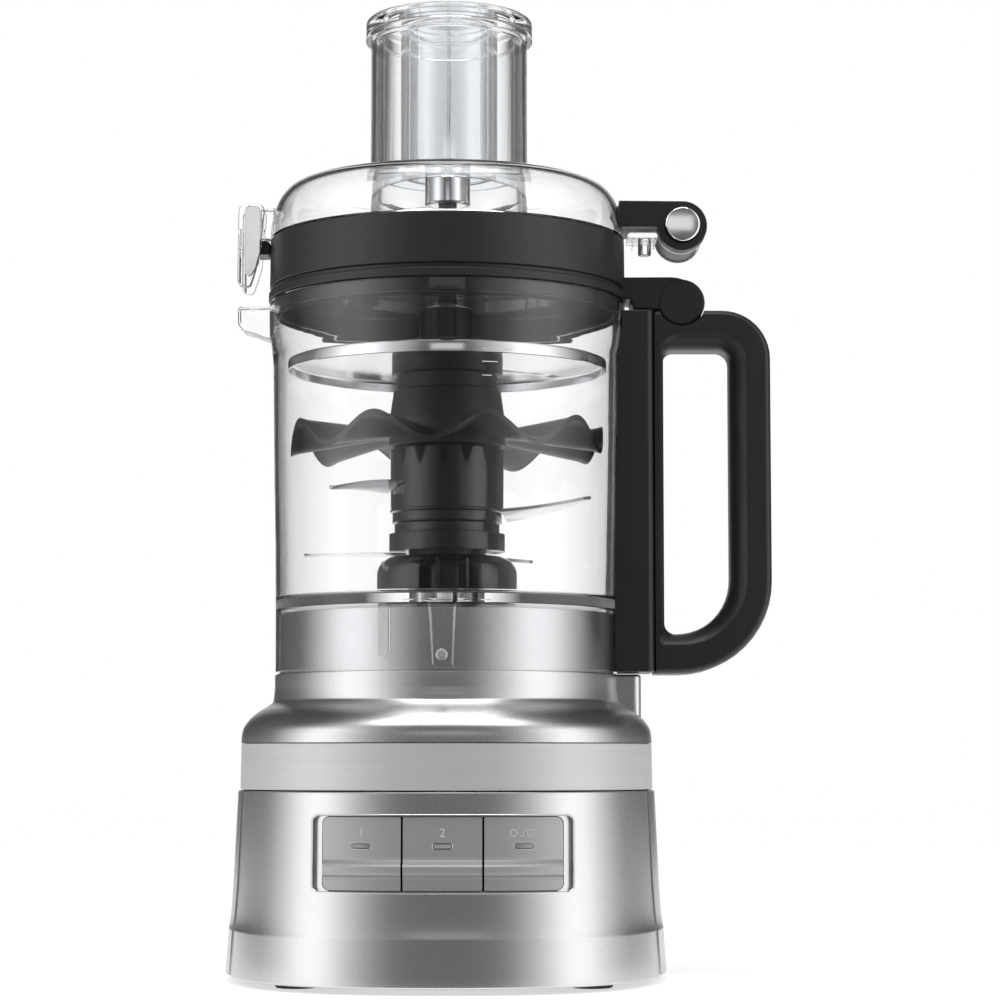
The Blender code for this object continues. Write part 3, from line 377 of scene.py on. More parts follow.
def make_chrome():
    """Chrome plating with a slight haze."""
    graph, shader = finish("chrome", 0.10, 1.0, (0.80, 0.80, 0.81))
    haze = graph.noise(120.0, 3.0)
    feed(
        graph,
        shader,
        base_color=graph.tint(haze, (0.74, 0.74, 0.75), (0.86, 0.86, 0.87)),
        roughness=0.06 + haze * 0.10,
    )


def make_steel():
    """Stainless sheet, ground in rings round the drive axis."""
    graph, shader = finish("steel", 0.14, 1.0, (0.74, 0.74, 0.75))
    where = graph.place(centre=tuple(DRIVE))
    flat = graph.node("ShaderNodeVectorMath", {"operation": "MULTIPLY"}, {0: where, 1: (1.0, 1.0, 0.0)})
    radius = graph.node("ShaderNodeVectorMath", {"operation": "LENGTH"}, {0: flat}, "Value")
    rings = {"W": radius, "Scale": 4200.0}
    lines = graph.node("ShaderNodeTexNoise", {"noise_dimensions": "1D"}, rings, "Fac")
    feed(
        graph,
        shader,
        base_color=graph.tint(lines, (0.66, 0.66, 0.67), (0.84, 0.84, 0.85)),
        roughness=0.08 + lines * 0.08,
        normal=graph.bump(lines, 0.00002, 0.3),
    )


def make_rubber():
    """Matt black rubber."""
    graph, shader = finish("rubber", 0.80, 0.0, (0.022, 0.022, 0.022))
    grain = graph.noise(1400.0, 3.0)
    feed(
        graph,
        shader,
        base_color=graph.tint(grain, (0.016, 0.016, 0.016), (0.034, 0.034, 0.034)),
        normal=graph.bump(grain, 0.00008, 0.4),
    )


def make_copper():
    """Enamelled wire laid in turns across the stator."""
    graph, shader = finish("copper_winding", 0.35, 1.0, (0.55, 0.26, 0.12))
    turns = {"Vector": graph.place(), "Scale": 400.0, "Distortion": 1.5}
    wires = graph.node("ShaderNodeTexWave", {"bands_direction": "Z"}, turns, "Fac")
    feed(
        graph,
        shader,
        base_color=graph.tint(wires, (0.30, 0.12, 0.05), (0.66, 0.33, 0.16)),
        normal=graph.bump(wires, 0.0003, 0.6),
    )


def make_board():
    """Green solder mask with a pattern of tracks."""
    graph, shader = finish("board_green", 0.45, 0.0, (0.03, 0.18, 0.08))
    layout = {"Vector": graph.place(), "Scale": 260.0, "Mortar Size": 0.05}
    tracks = graph.node("ShaderNodeTexBrick", {}, layout, "Fac")
    feed(graph, shader, base_color=graph.tint(tracks, (0.02, 0.13, 0.06), (0.10, 0.36, 0.17)))


def make_painted_gap_shade():
    """Near-black painted shade that stands in for the unlit inside seen through slots."""
    graph, shader = finish("dark_gap", 0.9, 0.0, (0.008, 0.008, 0.008))
    grain = graph.noise(300.0, 2.0)
    feed(graph, shader, roughness=0.8 + grain * 0.1)


def make_finishes():
    make_satin_silver()
    make_brushed_band()
    make_button_grey()
    make_lens_white()
    make_print_white()
    make_clear_plastic()
    make_black_plastic()
    make_gloss_black()
    make_chrome()
    make_steel()
    make_rubber()
    make_copper()
    make_board()
    make_painted_gap_shade()


def finish_cad_nodes():
    """Every CAD node takes the finish of the record's slot that it names."""
    slots = {row["node"]: row["material_slot"] for row in frame["record"]["subparts"]}
    for name, node in frame["nodes"].items():
        made = FINISHES[slots[name]]
        if not node.data.materials:
            node.data.materials.append(made)
        for index in range(len(node.material_slots)):
            node.material_slots[index].material = made


# ---------------------------------------------------------------- stage


# Brightness round the machine, from the backdrop (0) past each side to the front (1)
AROUND_STOPS = (
    (0.00, 0.08),
    (0.09, 0.09),
    (0.22, 0.50),
    (0.31, 1.0),
    (0.41, 1.0),
    (0.51, 0.48),
    (0.62, 0.10),
    (0.91, 0.03),
    (0.95, 0.64),
    (1.00, 0.66),
)

# Brightness from straight down (0) to straight up (1)
HEIGHT_STOPS = ((0.0, 0.75), (0.50, 1.0), (0.78, 1.0), (0.90, 0.45), (1.0, 0.55))

ROOM_STRENGTH = 1.6


def make_world():
    """A dim room with a tall softbox on each side, which the camera sees as plain white."""
    world = bpy.data.worlds.new("studio")
    bpy.context.scene.world = world
    world.use_nodes = True
    graph = Graph(world.node_tree)
    background = graph.tree.nodes["Background"]
    where = graph.node("ShaderNodeTexCoord", output="Generated")
    across = graph.node("ShaderNodeSeparateXYZ", {}, {"Vector": where})
    along, height = (Value(graph, across.socket.node.outputs[axis]) for axis in ("Y", "Z"))
    turn = across.math("ABSOLUTE").math("ARCTAN2", 0.0 - along) / math.pi
    around = graph.node("ShaderNodeValToRGB", {"stops": AROUND_STOPS}, {"Fac": turn})
    above = graph.node("ShaderNodeValToRGB", {"stops": HEIGHT_STOPS}, {"Fac": height * 0.5 + 0.5})
    light = graph.node("ShaderNodeVectorMath", {"operation": "MULTIPLY"}, {0: around, 1: above})
    room = graph.node("ShaderNodeVectorMath", {"operation": "SCALE"}, {0: light, "Scale": ROOM_STRENGTH})
    seen = graph.node("ShaderNodeLightPath", output="Is Camera Ray")
    graph.feed(background.inputs["Color"], graph.blend(seen, room, (1.0, 1.0, 1.0, 1.0)))
    background.inputs["Strength"].default_value = 1.0


def make_light(name, place, aim, size, power):
    """An area light that the camera doesn't see."""
    data = bpy.data.lights.new(name, "AREA")
    data.shape = "RECTANGLE"
    data.size, data.size_y = size
    data.energy = power
    made = bpy.data.objects.new(name, data)
    bpy.context.scene.collection.objects.link(made)
    made.location = place
    made.rotation_euler = (Vector(aim) - Vector(place)).to_track_quat("-Z", "Y").to_euler()
    made.visible_camera = False


def make_floor():
    """A glowing white floor that starts just ahead of the base."""
    front = [(-FLOOR_SIDE, FLOOR_FRONT, 0.0), (FLOOR_SIDE, FLOOR_FRONT, 0.0)]
    rear = [(FLOOR_SIDE, FLOOR_BACK, 0.0), (-FLOOR_SIDE, FLOOR_BACK, 0.0)]
    mesh = bpy.data.meshes.new("floor")
    mesh.from_pydata(front + rear, [], [(0, 1, 2, 3)])
    floor = bpy.data.objects.new("floor", mesh)
    bpy.context.scene.collection.objects.link(floor)
    graph, shader = finish("floor_white", 0.7, 0.0, (0.86, 0.86, 0.86), emission_strength=FLOOR_GLOW)
    shader.inputs["Emission Color"].default_value = (1.0, 1.0, 1.0, 1.0)
    shader.inputs["Specular IOR Level"].default_value = 0.0
    cloud = graph.noise(2.0, 2.0)
    feed(graph, shader, base_color=graph.tint(cloud, (0.85, 0.85, 0.85), (0.87, 0.87, 0.87)))
    mesh.materials.append(FINISHES["floor_white"])


def make_camera():
    """A camera in front of the machine, a little above the base and tilted slightly up."""
    data = bpy.data.cameras.new("camera")
    data.lens = CAMERA_LENS
    data.sensor_width = 36.0
    data.clip_end = 20.0
    camera = bpy.data.objects.new("camera", data)
    bpy.context.scene.collection.objects.link(camera)
    camera.location = DRIVE + Vector(CAMERA_PLACE)
    camera.rotation_euler = (math.radians(CAMERA_TILT), 0.0, 0.0)
    bpy.context.scene.camera = camera


def make_stage():
    """The room, the floor, the camera and two lights, with enough bounces for nested clear walls."""
    make_world()
    make_floor()
    make_camera()
    make_light("overhead", place=(0.0, -0.35, 1.5), aim=(0.0, 0.0, 0.1), size=(0.9, 0.5), power=6.0)
    make_light("high_front", place=(0.0, -1.6, 0.64), aim=(0.0, 0.0, 0.34), size=(0.62, 0.18), power=0.28)
    scene = bpy.context.scene
    scene.view_settings.view_transform = "Standard"
    scene.cycles.max_bounces = 32
    scene.cycles.transmission_bounces = 32
    scene.cycles.transparent_max_bounces = 32
    scene.cycles.glossy_bounces = 8
    scene.cycles.diffuse_bounces = 4


# ---------------------------------------------------------------- mesh makers


def closed_mesh(shape):
    """A mesh with its doubles merged and its faces turned outwards."""
    bmesh.ops.remove_doubles(shape, verts=shape.verts, dist=1e-6)
    bmesh.ops.recalc_face_normals(shape, faces=shape.faces)
    mesh = bpy.data.meshes.new("shape")
    shape.to_mesh(mesh)
    shape.free()
    return mesh


def loft(rings, ends="joined"):
    """Faces between rings of points that match one to one, with the ends joined or capped."""
    shape = bmesh.new()
    rows = [[shape.verts.new(point) for point in ring] for ring in rings]
    if ends == "joined":
        rows.append(rows[0])
    count = len(rings[0])
    for below, above in zip(rows, rows[1:]):
        for index in range(count):
            after = (index + 1) % count
            shape.faces.new((below[index], below[after], above[after], above[index]))
    if ends == "capped":
        shape.faces.new(rows[0][::-1])
        shape.faces.new(rows[-1])
    return closed_mesh(shape)


def turned(profile, segments=ROUND, centre=(0.0, 0.0), lay=None):
    """A closed profile of (radius, height) points turned round a vertical axis, or round lay's Z axis."""
    rings = []
    for radius, height in profile:
        angles = [2 * math.pi * index / segments for index in range(segments)]
        rings.append([(radius * math.cos(a), radius * math.sin(a), height) for a in angles])
    mesh = loft(rings)
    if lay is not None:
        mesh.transform(lay)
    mesh.transform(Matrix.Translation((centre[0], centre[1], 0.0)))
    return mesh


def rounded(corners, steps=6):
    """A closed outline through corners given as (x, y, radius), each with the same number of points."""
    outline = []
    count = len(corners)
    for index, (x, y, radius) in enumerate(corners):
        here = Vector((x, y))
        back = (Vector(corners[index - 1][:2]) - here).normalized()
        ahead = (Vector(corners[(index + 1) % count][:2]) - here).normalized()
        half = back.angle(ahead) / 2
        if radius == 0.0 or half > math.radians(89):
            outline.append(tuple(here))
            continue
        centre = here + (back + ahead).normalized() * (radius / math.sin(half))
        first = here + back * (radius / math.tan(half)) - centre
        last = here + ahead * (radius / math.tan(half)) - centre
        turn = math.copysign(math.pi - 2 * half, first.cross(last))
        for stop in range(steps + 1):
            outline.append(tuple(centre + Matrix.Rotation(turn * stop / steps, 2) @ first))
    return outline


def soft(profile, radius=0.0005, steps=3):
    """A profile whose every corner is rounded by one small radius, but for those on the axis."""
    return rounded([(r, z, radius if r > 0.0 else 0.0) for r, z in profile], steps)


def arc(centre, radius, start, end, steps):
    """Points on an arc, with angles in degrees."""
    angles = [math.radians(start + (end - start) * i / steps) for i in range(steps + 1)]
    return [(centre[0] + radius * math.cos(a), centre[1] + radius * math.sin(a)) for a in angles]


def inset(outline, distance):
    """The outline moved inwards by a distance."""
    area = sum(a[0] * b[1] - b[0] * a[1] for a, b in zip(outline, outline[1:] + outline[:1]))
    side = 1.0 if area > 0 else -1.0
    moved = []
    for index, point in enumerate(outline):
        here = Vector(point)
        back = (here - Vector(outline[index - 1])).normalized()
        ahead = (Vector(outline[(index + 1) % len(outline)]) - here).normalized()
        across = Vector((-(back + ahead).y, (back + ahead).x)).normalized() * side
        share = max(0.35, across.dot(Vector((-ahead.y, ahead.x)) * side))
        moved.append(tuple(here + across * (distance / share)))
    return moved


def on_plane(outline, depth, plane):
    """Points of a flat outline at a depth across its plane, XZ or XY."""
    if plane == "XZ":
        return [(u, depth, v) for u, v in outline]
    return [(u, v, depth) for u, v in outline]


def slab(outline, low, high, edge=0.0005, plane="XZ", steps=3):
    """A flat outline drawn out from low to high across its plane, with rounded edges."""
    rings = []
    for stop in range(steps + 1):
        angle = math.pi / 2 * stop / steps
        rings.append((edge * (1 - math.sin(angle)), low + edge * (1 - math.cos(angle))))
    rings += [(back, low + high - depth) for back, depth in reversed(rings)]
    return loft([on_plane(inset(outline, back), depth, plane) for back, depth in rings], "capped")


def block(low, high, edge=0.0005, plane="XY", corner=0.0):
    """A box with rounded edges, and with rounded corners in its plane."""
    u, v, w = {"XY": (0, 1, 2), "XZ": (0, 2, 1)}[plane]
    radius = max(corner, edge * 1.2)
    corners = [(low[u], low[v]), (high[u], low[v]), (high[u], high[v]), (low[u], high[v])]
    outline = rounded([(x, y, radius) for x, y in corners], 4)
    return slab(outline, low[w], high[w], edge, plane)


def rod(start, end, radius, segments=SMALL, edge=0.0004):
    """A round bar with softened ends."""
    start, end = Vector(start), Vector(end)
    length = (end - start).length
    lay = Matrix.Translation(start) @ (end - start).to_track_quat("Z", "Y").to_matrix().to_4x4()
    foot = [(0.0, 0.0), (radius - edge, 0.0), (radius, edge)]
    head = [(radius, length - edge), (radius - edge, length), (0.0, length)]
    return turned(foot + head, segments, lay=lay)


def tube(points, radius, closed=False):
    """A round line through points."""
    curve = bpy.data.curves.new("line", "CURVE")
    curve.dimensions = "3D"
    curve.bevel_depth = radius
    curve.bevel_resolution = 2
    curve.use_fill_caps = True
    spline = curve.splines.new("POLY")
    spline.points.add(len(points) - 1)
    for target, point in zip(spline.points, points):
        target.co = (*point, 1.0)
    spline.use_cyclic_u = closed
    return finished(bpy.data.objects.new("line", curve))


def finished(made):
    """The evaluated mesh of a scratch object, with its doubles merged. The object is removed."""
    bpy.context.scene.collection.objects.link(made)
    graph = bpy.context.evaluated_depsgraph_get()
    mesh = bpy.data.meshes.new_from_object(made.evaluated_get(graph))
    bpy.data.objects.remove(made)
    shape = bmesh.new()
    shape.from_mesh(mesh)
    bmesh.ops.remove_doubles(shape, verts=shape.verts, dist=1e-7)
    bmesh.ops.recalc_face_normals(shape, faces=shape.faces)
    shape.to_mesh(mesh)
    shape.free()
    return mesh


def combined(mesh, other, operation):
    """One closed mesh cut by, joined to or kept within another."""
    made = bpy.data.objects.new("shape", mesh)
    tool = bpy.data.objects.new("tool", other)
    bpy.context.scene.collection.objects.link(tool)
    modifier = made.modifiers.new("shape", "BOOLEAN")
    modifier.operation = operation
    modifier.object = tool
    result = finished(made)
    bpy.data.objects.remove(tool)
    return result


def cut(mesh, *others):
    """The mesh without what the others cover."""
    for other in others:
        mesh = combined(mesh, other, "DIFFERENCE")
    return mesh


def joined(mesh, *others):
    """The mesh and the others as one closed mesh."""
    for other in others:
        mesh = combined(mesh, other, "UNION")
    return mesh


def evenly_shaded(mesh):
    """The mesh with normals weighted by area, so that a flat face beside a small round stays flat."""
    made = bpy.data.objects.new(mesh.name, mesh)
    bpy.context.scene.collection.objects.link(made)
    modifier = made.modifiers.new("weights", "WEIGHTED_NORMAL")
    modifier.mode = "FACE_AREA"
    modifier.weight = 90
    modifier.keep_sharp = True
    graph = bpy.context.evaluated_depsgraph_get()
    weighted = bpy.data.meshes.new_from_object(made.evaluated_get(graph))
    bpy.data.objects.remove(made)
    return weighted


def piece(name, meshes, finish_name, body, replaced=None, sharp=38):
    """A shown piece: meshes drawn from the drive axis become one mesh with a finish, on a CAD body."""
    shape = bmesh.new()
    for mesh in meshes if isinstance(meshes, list) else [meshes]:
        shape.from_mesh(mesh)
    bmesh.ops.translate(shape, vec=DRIVE, verts=shape.verts)
    mesh = bpy.data.meshes.new(name)
    shape.to_mesh(mesh)
    shape.free()
    mesh.materials.clear()
    mesh.materials.append(FINISHES[finish_name])
    for face in mesh.polygons:
        face.material_index = 0
    mesh.shade_smooth()
    mesh.set_sharp_from_angle(angle=math.radians(sharp))
    made = bpy.data.objects.new(name, evenly_shaded(mesh))
    bpy.context.scene.collection.objects.link(made)
    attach(made, body)
    if replaced:
        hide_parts(replaced)


# ---------------------------------------------------------------- repeats by Geometry Nodes


RING_INPUTS = {
    "Count": "Int",
    "Radius": "Float",
    "Height": "Float",
    "First Angle": "Float",
    "Copy": "Object",
    "Finish": "Material",
}


@functools.cache
def ring_tree():
    """Copies of an object stood round the Z axis, with named inputs for their number and places."""
    tree = bpy.data.node_groups.new("ring_of_copies", "GeometryNodeTree")
    tree.interface.new_socket("Geometry", in_out="OUTPUT", socket_type="NodeSocketGeometry")
    for name, kind in RING_INPUTS.items():
        tree.interface.new_socket(name, in_out="INPUT", socket_type=f"NodeSocket{kind}")
    graph = Graph(tree)
    source = tree.nodes.new("NodeGroupInput")
    given = {name: Value(graph, source.outputs[name]) for name in RING_INPUTS}
    places = {"Vertices": given["Count"], "Radius": given["Radius"]}
    circle = graph.node("GeometryNodeMeshCircle", {}, places)
    copy = graph.node("GeometryNodeObjectInfo", {}, {"Object": given["Copy"]}, "Geometry")
    angle = graph.node("GeometryNodeInputIndex") * (2 * math.pi / given["Count"])
    turn = graph.node("ShaderNodeCombineXYZ", {}, {"Z": angle})
    stand = {"Points": circle, "Instance": copy, "Rotation": turn}
    copies = graph.node("GeometryNodeInstanceOnPoints", {}, stand)
    first = graph.node("ShaderNodeCombineXYZ", {}, {"Z": given["First Angle"]})
    lift = graph.node("ShaderNodeCombineXYZ", {}, {"Z": given["Height"]})
    place = {"Geometry": copies, "Rotation": first, "Translation": lift}
    whole = graph.node("GeometryNodeTransform", {}, place)
    real = graph.node("GeometryNodeRealizeInstances", {}, {0: whole})
    dressed = graph.node("GeometryNodeSetMaterial", {}, {"Geometry": real, "Material": given["Finish"]})
    graph.feed(tree.nodes.new("NodeGroupOutput").inputs[0], dressed)
    return tree


def ring_of(copy_mesh, count, radius, height=0.0, first=0.0, centre=(0.0, 0.0), finish_name="satin_silver"):
    """The mesh of copies of one small mesh, made by the ring tree round a centre."""
    tree = ring_tree()
    copy = bpy.data.objects.new("copy", copy_mesh)
    bpy.context.scene.collection.objects.link(copy)
    made = bpy.data.objects.new("ring", bpy.data.meshes.new("ring"))
    modifier = made.modifiers.new("ring", "NODES")
    modifier.node_group = tree
    given = {
        "Count": count,
        "Radius": radius,
        "Height": height,
        "First Angle": math.radians(first),
        "Copy": copy,
        "Finish": FINISHES[finish_name],
    }
    for item in tree.interface.items_tree:
        if item.in_out == "INPUT":
            modifier[item.identifier] = given[item.name]
    mesh = finished(made)
    bpy.data.objects.remove(copy)
    mesh.transform(Matrix.Translation((centre[0], centre[1], 0.0)))
    return mesh


# ---------------------------------------------------------------- base


def plan_ring(z, half_width, roundness=0.0, count=FINE):
    """The base's plan: a squared oval that becomes a circle on the drive axis at a roundness of 1."""
    ring = []
    for index in range(count):
        angle = 2 * math.pi * index / count
        cos, sin = math.cos(angle), math.sin(angle)
        power = 2 / PLAN_EXPONENT
        x = half_width * math.copysign(abs(cos) ** power, cos)
        y = BASE_CENTRE_Y + half_width * BASE_DEPTH_RATIO * math.copysign(abs(sin) ** power, sin)
        oval = Vector((x, y, z))
        ring.append(oval.lerp(Vector((half_width * cos, half_width * sin, z)), roundness))
    return ring


def side_half_width(z):
    """Half the base's width: it leans in, and flares out in a hollow curve down to the plinth's edge."""
    share = (z - BASE_BOTTOM) / (BAND_BOTTOM - BASE_BOTTOM)
    width = BASE_HALF_WIDTH + (BASE_TOP_HALF_WIDTH - BASE_HALF_WIDTH) * share
    if z <= PLINTH_TOP:
        return width
    up = z - PLINTH_TOP
    fade = (BAND_BOTTOM - z) / (BAND_BOTTOM - PLINTH_TOP)
    return width - 0.0007 * (1 - math.exp(-up / 0.0035)) * min(1.0, 1.5 * fade)


def face_y(x, z, back=0.0):
    """The front face's depth at a place, moved back from the surface."""
    half = side_half_width(z) - back
    rest = 1 - (abs(x) / half) ** PLAN_EXPONENT
    return BASE_CENTRE_Y - half * BASE_DEPTH_RATIO * rest ** (1 / PLAN_EXPONENT)


def side_levels():
    """Heights up the housing, closest where it flares and at its edges."""
    foot = [BASE_BOTTOM, BASE_BOTTOM + 0.0003, BASE_BOTTOM + 0.0008]
    plinth = [0.012, PLINTH_TOP - 0.0006, PLINTH_TOP]
    flare = [PLINTH_TOP + 0.0005 * 1.28**step for step in range(14)]
    head = [BAND_BOTTOM - GAP - 0.0004, BAND_BOTTOM - GAP]
    return foot + plinth + flare + [0.044, 0.056, 0.068, 0.078] + head


def housing(grow=0.0):
    """The whole housing as a shell, with small rounds at its foot and head."""
    levels = side_levels()
    outer = []
    for index, z in enumerate(levels):
        trim = {0: 0.0008, 1: 0.0003, len(levels) - 1: 0.0004}.get(index, 0.0)
        outer.append(plan_ring(z, side_half_width(z) + grow - trim))
    inner = [plan_ring(z, side_half_width(z) + grow - SHELL) for z in levels]
    return loft(outer + inner[::-1])


def rounded_box(half_width, low, high, corner):
    """The outline of a box about the middle line, with round corners."""
    corners = ((-half_width, low), (half_width, low), (half_width, high), (-half_width, high))
    return rounded([(x, z, corner) for x, z in corners], 8)


def opening_outline(margin=0.0):
    """The opening for the buttons, grown by a margin."""
    return rounded_box(BEZEL_HALF_WIDTH + margin, BEZEL_LOW - margin, BEZEL_HIGH + margin, 0.0030 + margin)


def between(first, second, share):
    """The point at a share of the way from one point to another."""
    return tuple(a + (b - a) * share for a, b in zip(first, second))


def spread(outline, guide=None, step=0.0025):
    """The outline with more points on its long stretches, as many on each as its guide needs."""
    guide = guide or outline
    ends = zip(outline, outline[1:] + outline[:1], guide, guide[1:] + guide[:1])
    points = []
    for here, after, guide_here, guide_after in ends:
        count = max(1, round(math.dist(guide_here, guide_after) / step))
        points += [between(here, after, stop / count) for stop in range(count)]
    return points


def on_face(outline, back=0.0):
    """A flat outline laid on the curved front face."""
    return [(x, face_y(x, z, back), z) for x, z in outline]


def make_housings():
    """The front shell with a fine lip round the buttons' opening, and the rear shell."""
    far = 0.3
    front = cut(
        housing(),
        block((-far, SEAM_Y, -far), (far, far, far), 0.001),
        slab(opening_outline(), CUT_FRONT, CUT_BACK),
    )
    lip = tube(on_face(spread(opening_outline(0.0001)), 0.0003), 0.0005, closed=True)
    piece("front_shell", [front, lip], "satin_silver", "base", "front_housing")
    rear = cut(
        housing(0.0006),
        block((-far, -far, -far), (far, SEAM_Y + 2 * GAP, far), 0.001),
        block((-far, -far, -far), (far, far, BASE_BOTTOM + 0.0012), 0.001),
        rod((0, 0.05, GLAND_Z), (0, 0.15, GLAND_Z), 0.0071),
    )
    piece("rear_shell", rear, "satin_silver", "base", "rear_housing")


def make_band():
    """The trim band, with a fine joint near each side."""
    half = BASE_TOP_HALF_WIDTH - 0.0003
    rows = [
        (BAND_BOTTOM + GAP, half - 0.0003),
        (BAND_BOTTOM + GAP + 0.0003, half),
        (BAND_TOP - GAP - 0.0003, half - 0.0003),
        (BAND_TOP - GAP, half - 0.0006),
        (BAND_TOP - GAP, half - 0.0030),
        (BAND_BOTTOM + GAP, half - 0.0030),
    ]
    band = loft([plan_ring(z, width, count=2 * FINE) for z, width in rows])
    for side in (-1, 1):
        x = side * 0.0858
        joint = block((x - 0.0002, -0.08, 0.07), (x + 0.0002, -0.0425, 0.12), 0.00002)
        band = cut(band, joint)
    piece("band", band, "brushed_band", "base", "trim_band")


def curve_point(a, b, c, d, t):
    """The number at a share t of the way from b to c, on the smooth curve through a, b, c and d."""
    square = (2 * a - 5 * b + 4 * c - d) * t**2
    cube = (3 * b - a - 3 * c + d) * t**3
    return 0.5 * (2 * b + (c - a) * t + square + cube)


def smooth_rows(rows, steps=5):
    """Rows of numbers joined by a smooth curve through them."""
    made = []
    for index in range(len(rows) - 1):
        before, here = rows[max(0, index - 1)], rows[index]
        after, beyond = rows[index + 1], rows[min(len(rows) - 1, index + 2)]
        for stop in range(steps):
            numbers = zip(before, here, after, beyond)
            made.append(tuple(curve_point(*four, stop / steps) for four in numbers))
    return made + [rows[-1]]


def make_top_cover():
    """Shoulder, neck and collar in one moulding, with the tower for the lid interlock's rod.

    Its rows give height, half width and roundness.
    """
    shoulder = (
        (BAND_TOP, 0.0933, 0.0),
        (0.1092, 0.0931, 0.0),
        (0.1122, 0.0924, 0.03),
        (0.1150, 0.0907, 0.10),
        (0.1178, 0.0881, 0.22),
        (0.1204, 0.0846, 0.45),
        (0.1225, 0.0810, 0.70),
        (0.1242, 0.0789, 0.90),
        (0.1262, NECK_RADIUS + 0.0004, 1.0),
        (0.1300, NECK_RADIUS, 1.0),
    )
    neck = (
        (NECK_TOP - 0.0010, NECK_RADIUS, 1.0),
        (NECK_TOP - 0.0003, NECK_RADIUS - 0.0003, 1.0),
        (NECK_TOP, NECK_RADIUS - 0.0010, 1.0),
        (NECK_TOP, COLLAR_RADIUS, 1.0),
        (DECK_TOP - 0.0008, COLLAR_RADIUS, 1.0),
        (DECK_TOP - 0.0002, COLLAR_RADIUS - 0.0002, 1.0),
        (DECK_TOP, 0.0750, 1.0),
        (DECK_TOP, 0.014, 1.0),
        (DECK_TOP - SHELL, 0.014, 1.0),
        (DECK_TOP - SHELL, COLLAR_RADIUS - 0.0049, 1.0),
        (NECK_TOP - SHELL, COLLAR_RADIUS - 0.0029, 1.0),
        (NECK_TOP - SHELL, NECK_RADIUS - SHELL, 1.0),
        (0.1248, NECK_RADIUS - SHELL, 1.0),
        (0.1190, 0.0820, 0.45),
        (0.1100, 0.0902, 0.0),
        (BAND_TOP, 0.0906, 0.0),
    )
    rows = smooth_rows(shoulder) + list(neck)
    shell = loft([plan_ring(z, half, roundness, FINE + 48) for z, half, roundness in rows])
    tower = block((0.0745, -0.013, 0.112), (0.0878, 0.013, NECK_TOP - 0.0002), 0.0012, "XY", 0.0035)
    cover = joined(shell, tower)
    cover = cut(cover, block((ROD_X - 0.002, -0.002, 0.10), (ROD_X + 0.002, 0.002, 0.15), 0.0001))
    piece("top_shell", cover, "satin_silver", "base", "top_cover", sharp=42)


def make_bottom():
    """The bottom plate with rings of vents and a screw at each corner, and the rubber feet."""
    rows = [(BASE_BOTTOM + 0.0006, 0.0040), (BASE_BOTTOM + 0.0012, 0.0033), (0.0066, 0.0033)]
    plate = loft([plan_ring(z, side_half_width(z) - back) for z, back in rows], "capped")
    ends = ((-0.011, -0.0011), (0.011, -0.0011), (0.011, 0.0011), (-0.011, 0.0011))
    vent = slab(rounded([(x, y, 0.001) for x, y in ends]), 0.0, 0.012, 0.0001, "XY")
    middle = (0.0, BASE_CENTRE_Y)
    for radius, first in ((0.022, 0.0), (0.048, 9.0)):
        plate = cut(plate, ring_of(vent, 20, radius, height=-0.002, first=first, centre=middle))
    piece("bottom_plate_vented", plate, "black_plastic", "base", "bottom_plate")
    head = [(0.0, 0.0030), (0.0030, 0.0030), (0.0036, 0.0034), (0.0036, 0.0044), (0.0, 0.0044)]
    screws = ring_of(turned(head, 24), 4, 0.083, first=45.0, centre=middle, finish_name="steel")
    piece("bottom_screws", screws, "steel", "base")
    for number in range(1, 5):
        centre = centre_of(f"rubber_foot_{number}") - DRIVE
        profile = [
            (0.0, BASE_BOTTOM + GAP, 0),
            (0.0085, BASE_BOTTOM + GAP, 0.0002),
            (0.0095, 0.0014, 0.0006),
            (0.0088, 0.0, 0.0009),
            (0.0055, 0.0, 0.0003),
            (0.0050, 0.0005, 0.0003),
            (0.0, 0.0005, 0),
        ]
        foot = turned(rounded(profile, 4), SMALL, (centre.x, centre.y))
        piece(f"foot_{number}", foot, "rubber", "base", f"rubber_foot_{number}")


def make_gland():
    """The cord's gland in the rear shell."""
    lay = Matrix.Translation((0, 0, GLAND_Z)) @ Matrix.Rotation(-math.pi / 2, 4, "X")
    back = from_drive("cord_gland")[1].y
    profile = [
        (0.0062, back - 0.012),
        (0.0062, back - 0.0056),
        (0.0092, back - 0.0056),
        (0.0092, back - 0.0020),
        (0.0066, back),
        (0.0036, back),
        (0.0036, back - 0.012),
    ]
    piece("gland", turned(soft(profile, 0.0005), SMALL, lay=lay), "rubber", "base", "cord_gland")


# ---------------------------------------------------------------- buttons


def button_inset(z):
    """How far the button's face lies behind the housing's, with a grip ridge that stands proud."""
    rows = (
        (BUTTON_LOW, 0.0012),
        (0.0476, 0.0014),
        (0.0488, 0.0008),
        (0.0500, -0.0010),
        (0.0514, -0.0017),
        (0.0534, -0.0018),
        (0.0546, -0.0012),
        (0.0562, 0.0011),
        (0.0574, 0.0014),
        (BUTTON_HIGH, 0.0011),
    )
    for (low, first), (high, second) in zip(rows, rows[1:]):
        if z <= high:
            share = max(0.0, (z - low) / (high - low))
            share = share * share * (3 - 2 * share)
            return first + (second - first) * share
    return rows[-1][1]


